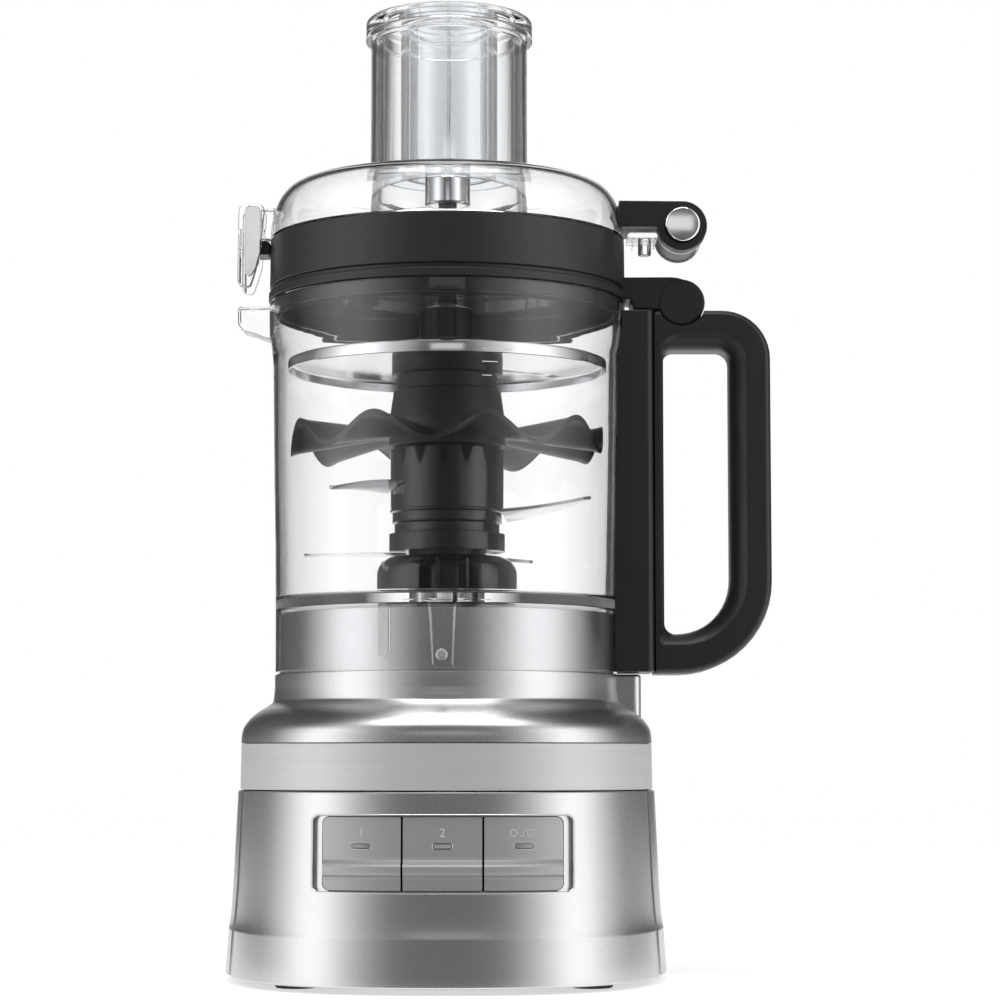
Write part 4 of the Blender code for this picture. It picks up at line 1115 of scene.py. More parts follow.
def button_mesh(middle, left_round, right_round):
    """One button: a grid on its curved face, carried back to its rear and kept within its outline."""
    left, right = middle - BUTTON_HALF_WIDTH, middle + BUTTON_HALF_WIDTH
    across, up = 16, 60
    shape = bmesh.new()
    rows = []
    for level in range(up + 1):
        z = BUTTON_LOW + (BUTTON_HIGH - BUTTON_LOW) * level / up
        row = []
        for column in range(across + 1):
            x = left + (right - left) * column / across
            row.append(shape.verts.new((x, face_y(x, z, button_inset(z)), z)))
        rows.append(row)
    front = []
    for below, above in zip(rows, rows[1:]):
        for first, second, third, fourth in zip(below, below[1:], above[1:], above):
            front.append(shape.faces.new((first, second, third, fourth)))
    grown = bmesh.ops.extrude_face_region(shape, geom=front)
    rear = [item for item in grown["geom"] if isinstance(item, bmesh.types.BMVert)]
    for vertex in rear:
        vertex.co.y = BUTTON_BACK_Y
    trim = 0.0001
    outline = rounded(
        [
            (left + trim, BUTTON_LOW + trim, left_round),
            (right - trim, BUTTON_LOW + trim, right_round),
            (right - trim, BUTTON_HIGH - trim, right_round),
            (left + trim, BUTTON_HIGH - trim, left_round),
        ]
    )
    return combined(closed_mesh(shape), slab(outline, CUT_FRONT, CUT_BACK, 0.00005), "INTERSECT")


def pill(width, height):
    """A flat outline with half-round ends."""
    half, radius = width / 2, height / 2
    return arc((half - radius, 0.0), radius, -90, 90, 10) + arc((radius - half, 0.0), radius, 90, 270, 10)


def moved(outline, x, z):
    """The outline moved sideways and up."""
    return [(u + x, v + z) for u, v in outline]


def text_mesh(body, size, x, z):
    """A raised numeral laid on the button's face, centred on a place."""
    curve = bpy.data.curves.new("numeral", "FONT")
    curve.body = body
    curve.size = size
    curve.extrude = 0.00006
    curve.align_x = "CENTER"
    curve.align_y = "CENTER"
    mesh = finished(bpy.data.objects.new("numeral", curve))
    place = Matrix.Translation((x, face_y(x, z, MARK_BACK), z))
    mesh.transform(place @ Matrix.Rotation(math.pi / 2, 4, "X"))
    return mesh


def pulse_symbol(x, z):
    """A ring for off and a square wave for pulse."""
    ring = [(x - 0.0036 + u, z + v) for u, v in arc((0, 0), 0.0014, 0, 345, 23)]
    low, high = z - 0.0012, z + 0.0012
    first_wave = [(x - 0.0010, low), (x + 0.0006, low), (x + 0.0006, high), (x + 0.0024, high)]
    second_wave = [(x + 0.0024, low), (x + 0.0042, low), (x + 0.0042, high), (x + 0.0054, high)]
    line = 0.00017
    return [
        tube(on_face(ring, MARK_BACK), line, closed=True),
        tube(on_face(first_wave + second_wave, MARK_BACK), line),
    ]


def button_mark(name, middle):
    """What is printed on a button: the number of its speed, or the ring and square wave."""
    if name == "pulse":
        return pulse_symbol(middle - 0.0008, MARK_Z)
    return text_mesh({"low": "1", "high": "2"}[name], 0.0052, middle, MARK_Z)


def make_tray():
    """The silver tray round the buttons, and a near-black plate behind them that paints the shade seen in
    the gaps between the buttons.
    """
    back = from_drive("button_bezel")[1].y
    inner = rounded_box(TRAY_HALF_WIDTH, BUTTON_LOW - 0.0001, BUTTON_HIGH + 0.0001, 0.0030)
    outer = opening_outline(-0.0001)
    side = rounded_box(BEZEL_HALF_WIDTH * 0.985, BEZEL_LOW + 0.0002, BEZEL_HIGH - 0.0002, 0.003)
    rings = [
        on_face(spread(outer), 0.0004),
        on_face(spread(side, outer), 0.0019),
        on_face(spread(inner, outer), 0.0021),
        [(x, back, z) for x, z in spread(inner, outer)],
        [(x, back, z) for x, z in spread(outer)],
    ]
    piece("button_tray", loft(rings), "satin_silver", "base", "button_bezel")
    # Near-black plate behind the buttons: painted shade for the gaps between them
    low = (-TRAY_HALF_WIDTH, back + 0.001, BUTTON_LOW)
    high = (TRAY_HALF_WIDTH, back + 0.002, BUTTON_HIGH)
    piece("button_backing", block(low, high, 0.0002), "dark_gap", "base")


def make_button(name, middle, left_round, right_round):
    """A button's cap with the slot for its lens, the lens in a fine bright rim, and its mark."""
    body = f"button_{name}"
    lens_rear = face_y(middle, LENS_Z, LENS_BACK)
    slot = slab(moved(pill(0.0084, 0.0024), middle, LENS_Z), CUT_FRONT, lens_rear, 0.00005)
    cap = cut(button_mesh(middle, left_round, right_round), slot)
    piece(f"{name}_button_cap", cap, "button_grey", body, f"{name}_button", sharp=30)
    lens_front = face_y(middle, LENS_Z, 0.0016)
    lens = slab(moved(pill(0.0078, 0.0018), middle, LENS_Z), lens_front, lens_rear, 0.0002)
    piece(f"{name}_lens", lens, "lens_white", body, f"{name}_indicator_lens")
    rim = tube(on_face(moved(pill(0.0086, 0.0026), middle, LENS_Z), 0.0014), 0.00016, closed=True)
    piece(f"{name}_lens_rim", rim, "chrome", body)
    piece(f"{name}_mark", button_mark(name, middle), "print_white", body)


def make_buttons():
    """The three buttons, of which the outer two are round at their free end."""
    make_button("low", -BUTTON_PITCH, BUTTON_END_ROUND, BUTTON_SIDE_ROUND)
    make_button("high", 0.0, BUTTON_SIDE_ROUND, BUTTON_SIDE_ROUND)
    make_button("pulse", BUTTON_PITCH, BUTTON_SIDE_ROUND, BUTTON_END_ROUND)


# ---------------------------------------------------------------- bowl


def eased(low, high, first, second, steps=8):
    """(radius, height) points that swing from one radius to another along an S curve."""
    points = []
    for stop in range(steps + 1):
        share = stop / steps
        swing = share * share * (3 - 2 * share)
        points.append((first + (second - first) * swing, low + (high - low) * share))
    return points


def bowl_outside():
    """The bowl's outer side from its rim down: straight below a swelling that carries the rim."""
    swelling = eased(0.2960, 0.2770, RIM_RADIUS, 0.0798)
    below = [(0.0793, 0.2420), (0.0784, 0.1970), (SKIRT_RADIUS, BOWL_UNDERSIDE)]
    return [(RIM_RADIUS, 0.2990)] + swelling + below


def make_bowl():
    """The clear bowl with its skirt, the closed tube over the shaft, and the pull lug at the left."""
    rim = [(0.0801, BOWL_RIM), (0.0812, BOWL_RIM - 0.0002), (RIM_RADIUS, BOWL_RIM - 0.0007)]
    foot = [(0.0779, SKIRT_BOTTOM + 0.0005), (0.0776, SKIRT_BOTTOM)]
    foot += [(0.0764, SKIRT_BOTTOM), (0.0762, SKIRT_BOTTOM + 0.0003)]
    under = [(0.0762, 0.1648), (0.0758, 0.1657), (0.0750, BOWL_UNDERSIDE), (0.0120, BOWL_UNDERSIDE)]
    post = [(0.0120, TUBE_HEAD), (0.0124, TUBE_HEAD + 0.0002), (0.0138, TUBE_HEAD)]
    post += [(0.0140, 0.1716), (0.0145, 0.1705), (0.0156, BOWL_FLOOR)]
    fillet = arc((0.0741, BOWL_FLOOR + 0.0018), 0.0018, -90, 0, 8)
    inner = [(0.0764, 0.1970), (0.0773, 0.2420), (0.0777, 0.2770)]
    inner += eased(0.2790, 0.2960, 0.0777, 0.0794)[1:]
    inner += [(0.0794, BOWL_RIM - 0.0004), (0.0797, BOWL_RIM)]
    body = turned(rim + bowl_outside() + foot + under + post + fillet + inner, FINE)
    lug = rounded(
        [
            (-0.0804, 0.3052, 0),
            (-0.0957, 0.3052, 0.0012),
            (-0.0957, 0.2945, 0.0050),
            (-0.0880, 0.2925, 0.0030),
            (-0.0804, 0.2895, 0),
        ]
    )
    body = joined(body, slab(lug, -0.0090, 0.0090, 0.0012))
    piece("clear_bowl", body, "clear_plastic", "bowl", "bowl")


def round_front(points, radius):
    """Points given as (sideways length, height), laid round the front of the bowl at a radius."""
    return [(radius * math.sin(u / radius), -radius * math.cos(u / radius), z) for u, z in points]


def make_skirt_marks():
    """The skirt's moulded key slot and tapered guide, and the guide's pin."""
    radius = SKIRT_RADIUS + 0.0001
    key = [(-0.0283, 0.1658), (-0.0283, 0.1445)]
    key += arc((-0.0261, 0.1445), 0.0022, 180, 360, 8)
    key += [(-0.0239, 0.1445), (-0.0239, 0.1658)]
    guide = [(-0.0062, 0.1655), (-0.0047, 0.1390), (0.0039, 0.1390), (0.0048, 0.1655)]
    tubes = [tube(round_front(line, radius), 0.0004) for line in (key, guide)]
    piece("skirt_key_lines", tubes, "clear_plastic", "bowl")
    pin = [(0.0, 0.0008), (0.0012, 0.0008), (0.0013, 0.0005), (0.0019, 0.0005)]
    pin += [(0.0026, 0.0), (0.0026, -0.0010), (0.0, -0.0010)]
    place = Matrix.Rotation(math.radians(-0.6), 4, "Z") @ Matrix.Translation((0, -radius - 0.0002, 0.1432))
    lay = place @ Matrix.Rotation(math.pi / 2, 4, "X")
    piece("skirt_pin", turned(pin, 32, lay=lay), "button_grey", "bowl")


def make_fill_marks():
    """Three plain marks at the bowl's fill levels, from a long one down to a short one."""
    radius = 0.0797
    steps = 12
    marks = []
    for height, start, end in ((0.2756, 12.0, 22.0), (0.2700, 12.0, 17.0), (0.2640, 12.0, 15.0)):
        degrees = [start + (end - start) * stop / steps for stop in range(steps + 1)]
        line = [(radius * math.radians(angle), height) for angle in degrees]
        marks.append(tube(round_front(line, radius), 0.00022))
    piece("fill_marks", marks, "print_white", "bowl")


def window_ring(share, depth):
    """The grip's window at a share of the way out to the edge of its wide chamfer."""
    left, right = WINDOW_LEFT - 0.0030 * share, WINDOW_RIGHT + 0.0072 * share
    low, high = WINDOW_LOW - 0.0052 * share, WINDOW_HIGH + 0.0066 * share
    rows = (
        (left, high, 0.0050, 0.0105),
        (left, low, 0.0050, 0.0016),
        (right, low, 0.0250, 0.0300),
        (right, high, 0.0060, 0.0125),
    )
    corners = [(x, z, first + (last - first) * share) for x, z, first, last in rows]
    return on_plane(rounded(corners, 12), depth, "XZ")


def grip_ring(back, depth):
    """The grip's outline moved in from its edge."""
    left, right = HANDLE_LEFT + min(back, 0.0006), HANDLE_RIGHT - back
    low, high = HANDLE_BOTTOM + back, HANDLE_TOP - back
    corners = [
        (left, high, 0.0010),
        (left, low, 0.0010),
        (right, low, 0.042 - back),
        (right, high, 0.022 - back),
    ]
    return on_plane(rounded(corners, 12), depth, "XZ")


def make_handle():
    """The loop handle: a flat face, a round edge with a fine step, and a wide chamfer at the window."""
    half = HANDLE_HALF_DEPTH
    edge = [(0.0030, 0.0), (0.0020, 0.0003), (0.0012, 0.0009), (0.0007, 0.0016)]
    edge += [(0.0007, 0.0019), (0.0003, 0.0026), (0.0, 0.0040)]
    chamfer = [(1.0, 0.0), (0.985, 0.0003), (0.80, 0.0010), (0.60, 0.0021)]
    chamfer += [(0.40, 0.0035), (0.22, 0.0050), (0.08, 0.0066), (0.0, 0.0090)]
    rings = [grip_ring(back, -half + depth) for back, depth in edge]
    rings += [grip_ring(back, half - depth) for back, depth in reversed(edge)]
    rings += [window_ring(share, half - depth) for share, depth in chamfer]
    rings += [window_ring(share, -half + depth) for share, depth in reversed(chamfer)]
    grip = loft(rings)
    socket = rod((HINGE_X, -0.05, HINGE_Z), (HINGE_X, 0.05, HINGE_Z), KNUCKLE_RADIUS + 0.0010, ROUND)
    grip = cut(grip, socket)
    piece("loop_handle", grip, "black_plastic", "bowl", "handle_grip", sharp=50)


def make_column():
    """The column between bowl and handle, with the channel of the interlock rod."""
    low = (0.070, -COLUMN_HALF_DEPTH, SKIRT_BOTTOM)
    high = (COLUMN_RIGHT, COLUMN_HALF_DEPTH, COLUMN_TOP)
    column = block(low, high, 0.0007, "XY", 0.0030)
    outside = [(radius + 0.0004, height) for radius, height in bowl_outside()]
    bowl_side = [(0.0, 0.35), (0.0822, 0.35)] + outside + [(0.0783, 0.10), (0.0, 0.10)]
    channel = block((ROD_X - 0.0018, -0.0018, 0.10), (ROD_X + 0.0018, 0.0018, 0.33), 0.0001)
    line = block((0.0925, -0.03, 0.1), (0.0929, -COLUMN_HALF_DEPTH + 0.0006, 0.35), 0.00005)
    column = cut(column, turned(bowl_side, FINE), channel, line)
    piece("bowl_column", column, "black_plastic", "bowl", "handle_column")


# ---------------------------------------------------------------- tools on the drive


def make_adapter():
    """The black sleeve under the tools, ribbed at its top, with a stem up into the lid's bearing."""
    profile = [
        (0.0, 0.3565),
        (0.0034, 0.3565),
        (0.0042, 0.3540),
        (0.0042, 0.3068),
        (0.0125, 0.3040),
        (0.0125, 0.2905),
        (0.0080, 0.2905),
        (0.0080, 0.2630),
        (0.0175, 0.2610),
        (0.0175, 0.1715),
        (0.0146, 0.1715),
        (0.0146, 0.2370),
        (0.0, 0.2370),
    ]
    body = turned(soft(profile, 0.0004), ROUND)
    body = cut(body, turned([(0.0, 0.236), (0.0070, 0.236), (0.0070, 0.253), (0.0, 0.253)], 6))
    rib = block((-0.0009, -0.0010, 0.2915), (0.0010, 0.0010, 0.3030), 0.0003)
    ribs = ring_of(rib, 8, 0.0126, first=22.5, finish_name="black_plastic")
    piece("adapter", [body, ribs], "black_plastic", "tools", "drive_adapter")


def blade_section(x, rear, front):
    """A blade's section at one place along it, ground thin towards its front edge."""
    ground = rear + (front - rear) * 0.52
    thick, thin = 0.00075, 0.00008
    below = [(x, rear, -thick), (x, ground, -thick), (x, front, -thin)]
    return below + [(x, y, -z) for x, y, z in reversed(below)]


def blade_mesh(radius, reach, sweep, width, z, turn, lean=0.0, pitch=0.0):
    """A blade curved back from the hub to a narrow tip, leaning up and pitched about its length.

    The turn round the hub is in degrees, and the lean and the pitch are in radians.
    """
    rings = []
    steps, tip = 28, 0.93
    for stop in range(steps + 1):
        t = stop / steps
        rear = -width * 0.5 * (1 - t) - sweep * t * t
        front = width * 0.5 * (1 - t * t) - sweep * t * t * 0.9 + 0.0020 * t + 0.0012 * (1 - t)
        pinch = 0.75 * (max(0.0, t - tip) / (1 - tip)) ** 2
        middle = (rear + front) / 2
        rear += (middle - rear) * pinch
        front += (middle - front) * pinch
        rings.append(blade_section(radius + reach * t, rear, front))
    mesh = loft(rings, "capped")
    place = (
        Matrix.Rotation(math.radians(turn), 4, "Z")
        @ Matrix.Translation((radius, 0, z))
        @ Matrix.Rotation(-lean, 4, "Y")
        @ Matrix.Rotation(pitch, 4, "X")
        @ Matrix.Translation((-radius, 0, 0))
    )
    mesh.transform(place)
    return mesh


def make_blades():
    """The double blade: a domed skirt with fins under it, the hub, and four ground blades."""
    shroud = [(TOOL_BORE, 0.1900), (0.0236, 0.1900)] + arc((0.0236, 0.1818), 0.0084, 90, 0, 10)
    shroud += [(0.0320, 0.1760), (0.0317, 0.1742), (0.0304, 0.1740), (0.0300, 0.1780)]
    shroud += [(0.0290, 0.1840), (0.0240, 0.1875), (TOOL_BORE, 0.1875)]
    skirt = turned(shroud, ROUND)
    core = [(TOOL_BORE, 0.1885), (0.0228, 0.1885), (0.0228, 0.1742), (TOOL_BORE, 0.1742)]
    core = turned(soft(core, 0.0003), ROUND)
    fin = block((-0.0012, -0.0007, 0.1745), (0.0065, 0.0007, 0.1880), 0.0002)
    fins = ring_of(fin, 14, 0.0235, first=6.0, finish_name="gloss_black")
    window = block((-0.012, -0.05, 0.16), (0.016, -0.026, 0.1872), 0.001, "XZ", 0.004)
    piece("blade_skirt", [cut(skirt, window), core, fins], "gloss_black", "tools", "blade_shroud")
    hub = [
        (0.0242, 0.2405),
        (0.0260, 0.2392),
        (0.0258, 0.2118),
        (0.0262, 0.2114),
        (0.0262, 0.2106),
        (0.0250, 0.2101),
        (0.0250, 0.2062),
        (0.0253, 0.2058),
        (0.0240, 0.2050),
        (0.0240, 0.2012),
        (0.0265, 0.2006),
        (0.0265, 0.1925),
        (TOOL_BORE, 0.1925),
        (TOOL_BORE, 0.2405),
    ]
    piece("blade_carrier", turned(soft(hub, 0.0003, 2), ROUND), "gloss_black", "tools", "blade_hub")
    lower = {"radius": 0.0190, "reach": 0.0460, "sweep": 0.012, "width": 0.020, "z": 0.1913}
    upper = {"radius": 0.0263, "sweep": 0.010, "width": 0.018}
    blades = {
        "lower_blade_left": blade_mesh(**lower, turn=186),
        "lower_blade_right": blade_mesh(**lower, turn=62),
        "upper_blade_left": blade_mesh(**upper, reach=0.0280, z=0.2215, turn=205, lean=0.05, pitch=0.22),
        "upper_blade_right": blade_mesh(**upper, reach=0.0410, z=0.2090, turn=-8, lean=0.13, pitch=-0.20),
    }
    for name, mesh in blades.items():
        piece(f"{name}_ground", mesh, "steel", "tools", name)


def make_whisk():
    """A ruffled disc on a flared hub, with a thick rim and a crease along each wave."""
    hub = [
        (0.0246, 0.2665),
        (0.0249, 0.2640),
        (0.0258, 0.2580),
        (0.0265, 0.2530),
        (0.0267, 0.2408),
        (TOOL_BORE, 0.2408),
        (TOOL_BORE, 0.2665),
    ]
    piece("whisk_collar", turned(soft(hub, 0.0005), ROUND), "black_plastic", "tools", "whisk_hub")
    waves, around, across = 9, 270, 20
    inner, outer = 0.0251, from_drive("whisk_disc")[1].x
    rings = []
    for side, order in ((1, range(across + 1)), (-1, range(across, -1, -1))):
        for step in order:
            share = step / across
            radius = inner + (outer - inner) * share
            thick = 0.0007 + 0.0006 * max(0.0, (share - 0.93) / 0.07)
            ring = []
            for index in range(around):
                angle = 2 * math.pi * index / around
                swing = math.sin(waves * angle + 0.9 * share)
                crease = 0.0011 * (1 - abs(swing)) * share * (1 - share)
                height = 0.2455 - 0.0020 * share + 0.0062 * share**0.9 * swing + crease + side * thick
                ring.append((radius * math.cos(angle), radius * math.sin(angle), height))
            rings.append(ring)
    piece("whisk_ruffle", loft(rings), "black_plastic", "tools", "whisk_disc", sharp=60)


def make_slicing_disc():
    """The slicing disc on its hub, with a turned-down rim, one slot and the blade raised over it."""
    hub = [
        (0.0200, 0.2902),
        (0.0250, 0.2890),
        (0.0254, 0.2820),
        (0.0254, 0.2740),
        (0.0230, 0.2735),
        (0.0230, 0.2668),
        (0.0083, 0.2668),
        (0.0083, 0.2902),
    ]
    piece("disc_collar", turned(soft(hub, 0.0004), ROUND), "black_plastic", "tools", "disc_hub")
    disc = [
        (0.0257, 0.2806),
        (0.0700, 0.2806),
        (0.0718, 0.2804),
        (0.0727, 0.2798),
        (0.0730, 0.2788),
        (0.0730, 0.2752),
        (0.0724, 0.2750),
        (0.0722, 0.2752),
        (0.0720, 0.2786),
        (0.0712, 0.2794),
        (0.0257, 0.2796),
    ]
    turn = Matrix.Rotation(math.radians(40), 4, "Z")
    slot = block((0.030, -0.003, 0.27), (0.068, 0.004, 0.29), 0.0001, "XY", 0.001)
    slot.transform(turn)
    piece("disc_plate", cut(turned(disc, FINE), slot), "steel", "tools", "slicing_disc")
    section = ((-0.0022, 0.2811), (0.0030, 0.2818), (0.0030, 0.2819), (-0.0022, 0.2819))
    edge = loft([[(x, y, z) for y, z in section] for x in (0.031, 0.067)], "capped")
    edge.transform(turn)
    piece("disc_blade", edge, "steel", "tools", "slicing_blade")


# ---------------------------------------------------------------- lid


def make_lid_ring():
    """The lid's black ring, the clear liner inside it, and the seal under it."""
    ring = [
        (0.0800, RING_TOP, 0.0002),
        (0.0806, RING_TOP - 0.0004, 0.0002),
        (RING_RADIUS - 0.0002, RING_TOP - 0.0006, 0.0006),
        (RING_RADIUS, 0.3132, 0.0007),
        (0.0800, 0.3128, 0.0003),
        (0.0800, 0.3112, 0.0003),
        (0.0820, 0.3108, 0.0005),
        (0.0820, BOWL_RIM + 0.0004, 0.0004),
        (0.0788, BOWL_RIM + 0.0004, 0.0002),
        (0.0788, 0.3010, 0.0004),
        (0.0768, 0.3010, 0.0004),
        (0.0768, RING_TOP, 0.0003),
    ]
    piece("ring_shell", turned(rounded(ring, 4), FINE), "black_plastic", "lid", "lid_ring")
    top = RING_TOP - 0.0004
    liner = [(0.0767, top), (0.0767, 0.3014), (0.0762, 0.3014), (0.0762, top)]
    piece("ring_liner", turned(soft(liner, 0.0001, 2), FINE), "clear_plastic", "lid")
    seal = [(0.0790, 0.3006), (0.0789, 0.2998), (0.0783, 0.2990)]
    seal += [(0.0773, 0.2990), (0.0768, 0.2996), (0.0768, 0.3006)]
    piece("ring_seal", turned(soft(seal, 0.0002, 2), FINE), "rubber", "lid", "lid_seal")


def dome_outside():
    """The dome's outer side from its foot up: an elliptical shoulder, then a nearly flat crown."""
    shoulder = []
    for step in range(19):
        angle = math.radians(5 * step)
        radius = CROWN_RADIUS + (DOME_RADIUS - CROWN_RADIUS) * math.cos(angle)
        shoulder.append((radius, 0.3370 + 0.0238 * math.sin(angle)))
    crown = []
    for step in range(1, 12):
        share = 1 - step / 12
        crown.append((CROWN_RADIUS * share, DOME_TOP - 0.0092 * share**2))
    return [(DOME_RADIUS, DOME_FOOT)] + shoulder + crown + [(0.0, DOME_TOP)]


def make_dome():
    """The clear dome with its feed tube, the bearing's boss and the rocker's lug, and the bearing cup."""
    outside = dome_outside()
    inside = []
    for before, here, after in zip(outside, outside[1:], outside[2:]):
        along = Vector((after[0] - before[0], after[1] - before[1])).normalized()
        inside.append((max(0.0, here[0] - along.y * DOME_WALL), here[1] + along.x * DOME_WALL))
    inside = [(0.0787, DOME_FOOT)] + inside[1:] + [(0.0, DOME_TOP - DOME_WALL)]
    dome = turned(outside + inside[::-1], FINE)
    opening = rod((0, TUBE_Y, 0.30), (0, TUBE_Y, 0.40), (TUBE_RADIUS + TUBE_BORE) / 2, ROUND)
    tube_wall = [
        (TUBE_RADIUS - 0.0004, TUBE_TOP),
        (TUBE_RADIUS, TUBE_TOP - 0.0004),
        (TUBE_RADIUS, 0.3224),
        (TUBE_RADIUS - 0.0004, 0.3220),
        (TUBE_BORE + 0.0003, 0.3220),
        (TUBE_BORE, 0.3223),
        (TUBE_BORE, TUBE_TOP - 0.0003),
        (TUBE_BORE + 0.0003, TUBE_TOP),
    ]
    feed_tube = turned(tube_wall, ROUND, (0, TUBE_Y))
    boss = rod((0, 0, 0.3510), (0, 0, 0.3690), 0.0104, SMALL)
    lug = block((-0.0856, -0.0070, 0.3364), (-0.0790, 0.0070, 0.3510), 0.0008, "XY", 0.0012)
    dome = joined(cut(dome, opening), feed_tube, boss, lug)
    bore = rod((0, 0, 0.29), (0, 0, 0.3668), 0.0086, SMALL)
    stem_way = block((-0.0180, -0.0100, 0.3100), (0.0090, 0.0080, 0.3508), 0.0003)
    dome = cut(dome, bore, stem_way)
    piece("clear_dome", dome, "clear_plastic", "lid", "lid_dome", sharp=32)
    bearing = [
        (0.0, 0.3665),
        (0.0083, 0.3665),
        (0.0083, 0.3535),
        (0.0063, 0.3535),
        (0.0060, 0.3640),
        (0.0, 0.3640),
    ]
    piece("bearing_cup", turned(soft(bearing, 0.0004), SMALL), "chrome", "lid", "lid_bearing")


def make_lower_arm():
    """The lower arm, whose knuckle turns in the handle's socket."""
    knuckle = arc((HINGE_X, HINGE_Z), KNUCKLE_RADIUS + 0.0006, -163, 84, 44)
    foot = [(0.0793, 0.3176), (0.0793, 0.3080), (0.0838, 0.3076), (0.0850, 0.3032)]
    lower = slab(foot + knuckle + [(0.1052, 0.3174), (0.1020, 0.3177)], -0.013, 0.013, 0.0006)
    boss = slab(arc((HINGE_X, HINGE_Z), KNUCKLE_RADIUS, 0, 355, 71), -0.0135, 0.0135, 0.0004)
    piece("lower_arm", [lower, boss], "black_plastic", "lid", "hinge_arm")


def make_upper_arm():
    """The upper arm with its barrel, the barrel's bright bands and the capped button in its end."""
    round_end = arc((HINGE_X, LOCK_Z), 0.0113, -150, 84, 40)
    start = [(ARM_LEFT, ARM_TOP + 0.0003), (ARM_LEFT, ARM_LOW), (0.0960, ARM_LOW)]
    front = slab(start + round_end, -0.0215, -0.0118, 0.0007)
    side = [(ARM_LEFT, ARM_TOP), (ARM_LEFT, ARM_LOW), (0.1020, ARM_LOW), (0.1020, ARM_TOP)]
    bar = slab(side, -0.0122, 0.012, 0.0007)
    lay = Matrix.Translation((HINGE_X, 0, LOCK_Z)) @ Matrix.Rotation(-math.pi / 2, 4, "X")
    bore = rod((HINGE_X, -0.05, LOCK_Z), (HINGE_X, -0.0160, LOCK_Z), 0.0081, ROUND)
    barrel = [(0.0, -0.0120), (KNUCKLE_RADIUS, -0.0120), (KNUCKLE_RADIUS, 0.0230), (0.0, 0.0230)]
    arm = [cut(front, bore), bar, turned(soft(barrel, 0.0005), ROUND, lay=lay)]
    piece("top_arm", arm, "black_plastic", "lid", "upper_arm")
    front_line = [(0.0112, -0.0110), (0.0112, -0.0096), (0.0103, -0.0096), (0.0103, -0.0110)]
    band = [(0.0108, 0.0185), (0.0108, 0.0165), (0.0103, 0.0165), (0.0103, 0.0185)]
    rings = [turned(soft(profile, 0.0002, 2), ROUND, lay=lay) for profile in (front_line, band)]
    piece("barrel_bands", rings, "chrome", "lid", "barrel_ring")
    cap = [(0.0, -0.0260), (0.0068, -0.0260), (0.0074, -0.0258)]
    cap += [(0.0078, -0.0253), (0.0078, -0.0195), (0.0, -0.0195)]
    piece("button_cap", turned(cap, ROUND, lay=lay), "chrome", "lid_button", "lid_button")


def make_lock_tab():
    """The clear locking tab under the upper arm, with a pin and two ribs below it."""
    plate = block((0.0824, -0.0110, 0.3362), (0.0965, 0.0110, 0.3386), 0.0004, "XY", 0.0015)
    pin = rod((0.0905, -0.006, 0.3285), (0.0905, -0.006, 0.3370), 0.0030, 32)
    rib = block((0.0850, -0.0104, 0.3340), (0.0858, 0.0104, 0.3366), 0.0002)
    far_rib = block((0.0950, -0.0104, 0.3345), (0.0958, 0.0104, 0.3366), 0.0002)
    piece("lock_tab", joined(plate, pin, rib, far_rib), "clear_plastic", "lid", "lock_plate")


def latch_rod(radius, front=-0.02, rear=0.02):
    """A rod along the rocker's axis."""
    return rod((LATCH_X, front, LATCH_Z), (LATCH_X, rear, LATCH_Z), radius, 24)


def make_latch():
    """The clear rocker with its chrome side plate, on a pin through the ring's black boss."""
    side = rounded(
        [
            (-0.0832, 0.3520, 0.0035),
            (-0.0955, 0.3526, 0.0040),
            (-0.0959, 0.3140, 0.0035),
            (-0.0900, 0.3126, 0.0025),
            (-0.0860, 0.3250, 0.0030),
        ]
    )
    lever = slab(side, -0.0115, 0.0115, 0.0007)
    gap = block((-0.0938, -0.0088, 0.30), (-0.06, 0.0088, 0.36), 0.0006)
    top_gap = block((-0.10, -0.0088, 0.3400), (-0.06, 0.0088, 0.37), 0.0006)
    piece("rocker", cut(lever, gap, top_gap, latch_rod(0.0019)), "clear_plastic", "latch", "latch_lever")
    cheek = rounded(
        [
            (-0.0852, 0.3508, 0.0030),
            (-0.0926, 0.3510, 0.0032),
            (-0.0926, 0.3200, 0.0030),
            (-0.0898, 0.3172, 0.0012),
            (-0.0872, 0.3215, 0.0040),
            (-0.0852, 0.3290, 0.0040),
        ]
    )
    piece("rocker_plate", slab(cheek, -0.0136, -0.0118, 0.0005), "chrome", "latch", "latch_cheek")
    piece("rocker_pin", latch_rod(0.0015, -0.0117, 0.0114), "steel", "latch", "latch_pin")
    body = block((-0.0925, -0.0078, 0.3290), (-0.0812, 0.0078, 0.3354), 0.0006, "XZ", 0.0020)
    piece("rocker_boss", cut(body, latch_rod(0.0019)), "black_plastic", "lid", "latch_boss")


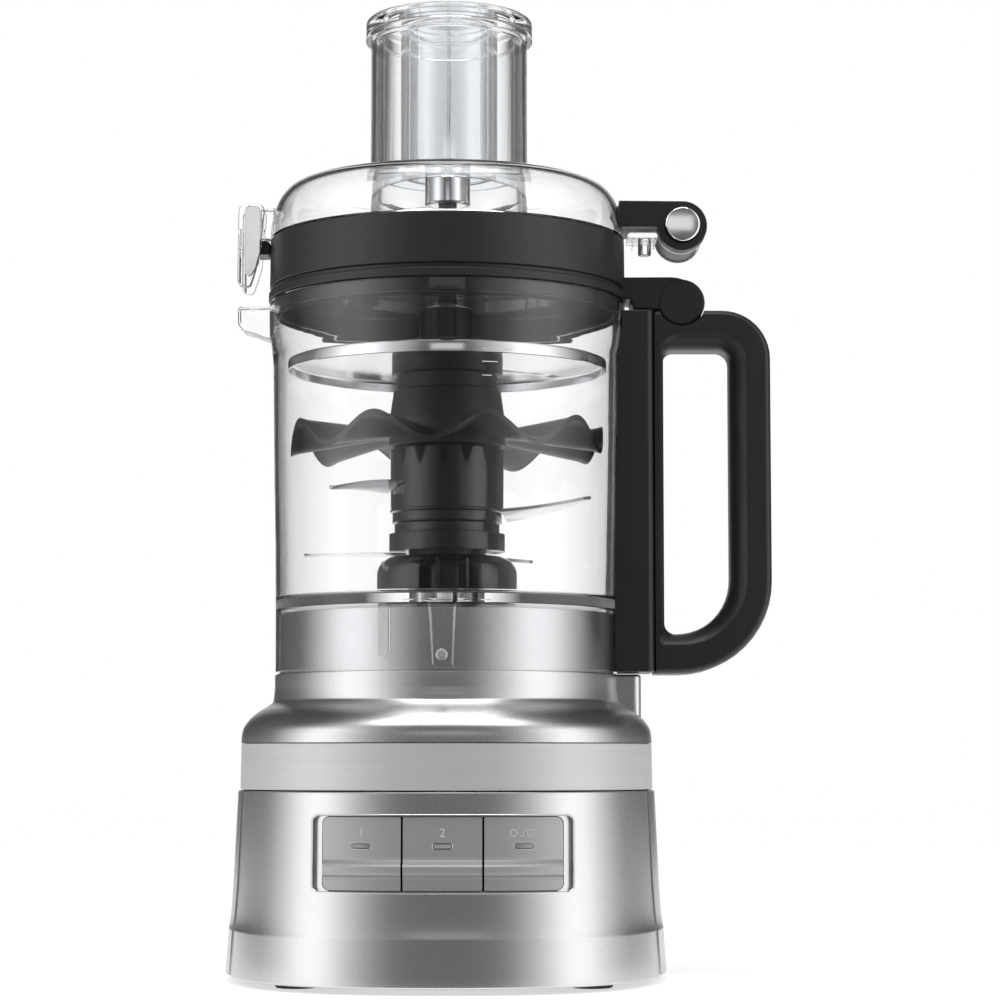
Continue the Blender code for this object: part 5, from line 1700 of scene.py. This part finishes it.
def make_pushers():
    """The two pushers, one inside the other, with ribs inside the small one."""
    outer = [
        (0.0363, 0.4495, 0.0006),
        (0.0396, 0.4488, 0.0032),
        (0.0396, 0.4381, 0.0006),
        (0.0334, 0.4381, 0.0004),
        (0.0334, 0.3740, 0.0006),
        (0.0316, 0.3740, 0.0006),
        (0.0316, 0.4440, 0.0020),
        (0.0230, 0.4440, 0.0012),
        (0.0230, 0.3760, 0.0004),
        (0.0213, 0.3760, 0.0004),
        (0.0213, 0.4470, 0.0004),
        (0.0340, 0.4470, 0.0010),
        (0.0346, 0.4495, 0.0006),
    ]
    shell = turned(rounded(outer, 5), ROUND, (0, TUBE_Y))
    piece("outer_pusher", shell, "clear_plastic", "large_pusher", "large_pusher")
    inner = [
        (0.0, 0.4546, 0),
        (0.0160, 0.4544, 0.0010),
        (0.0182, 0.4528, 0.0010),
        (0.0184, 0.4503, 0.0004),
        (0.0228, 0.4500, 0.0006),
        (0.0228, 0.4474, 0.0004),
        (0.0209, 0.4474, 0.0002),
        (0.0209, 0.3745, 0.0005),
        (0.0191, 0.3745, 0.0005),
        (0.0191, 0.4500, 0.0010),
        (0.0, 0.4520, 0),
    ]
    body = turned(rounded(inner, 4), ROUND, (0, TUBE_Y))
    piece("inner_pusher", body, "clear_plastic", "small_pusher", "small_pusher")
    rib = block((-0.0012, -0.0005, 0.3760), (0.0003, 0.0005, 0.4480), 0.0002)
    ribs = ring_of(rib, 6, 0.0190, first=30.0, centre=(0.0, TUBE_Y), finish_name="clear_plastic")
    piece("inner_pusher_ribs", ribs, "clear_plastic", "small_pusher")


def main():
    make_finishes()
    finish_cad_nodes()
    make_stage()
    make_housings()
    make_band()
    make_top_cover()
    make_bottom()
    make_gland()
    make_tray()
    make_buttons()
    make_bowl()
    make_skirt_marks()
    make_fill_marks()
    make_handle()
    make_column()
    make_adapter()
    make_blades()
    make_whisk()
    make_slicing_disc()
    make_lid_ring()
    make_dome()
    make_lower_arm()
    make_upper_arm()
    make_lock_tab()
    make_latch()
    make_pushers()


main()
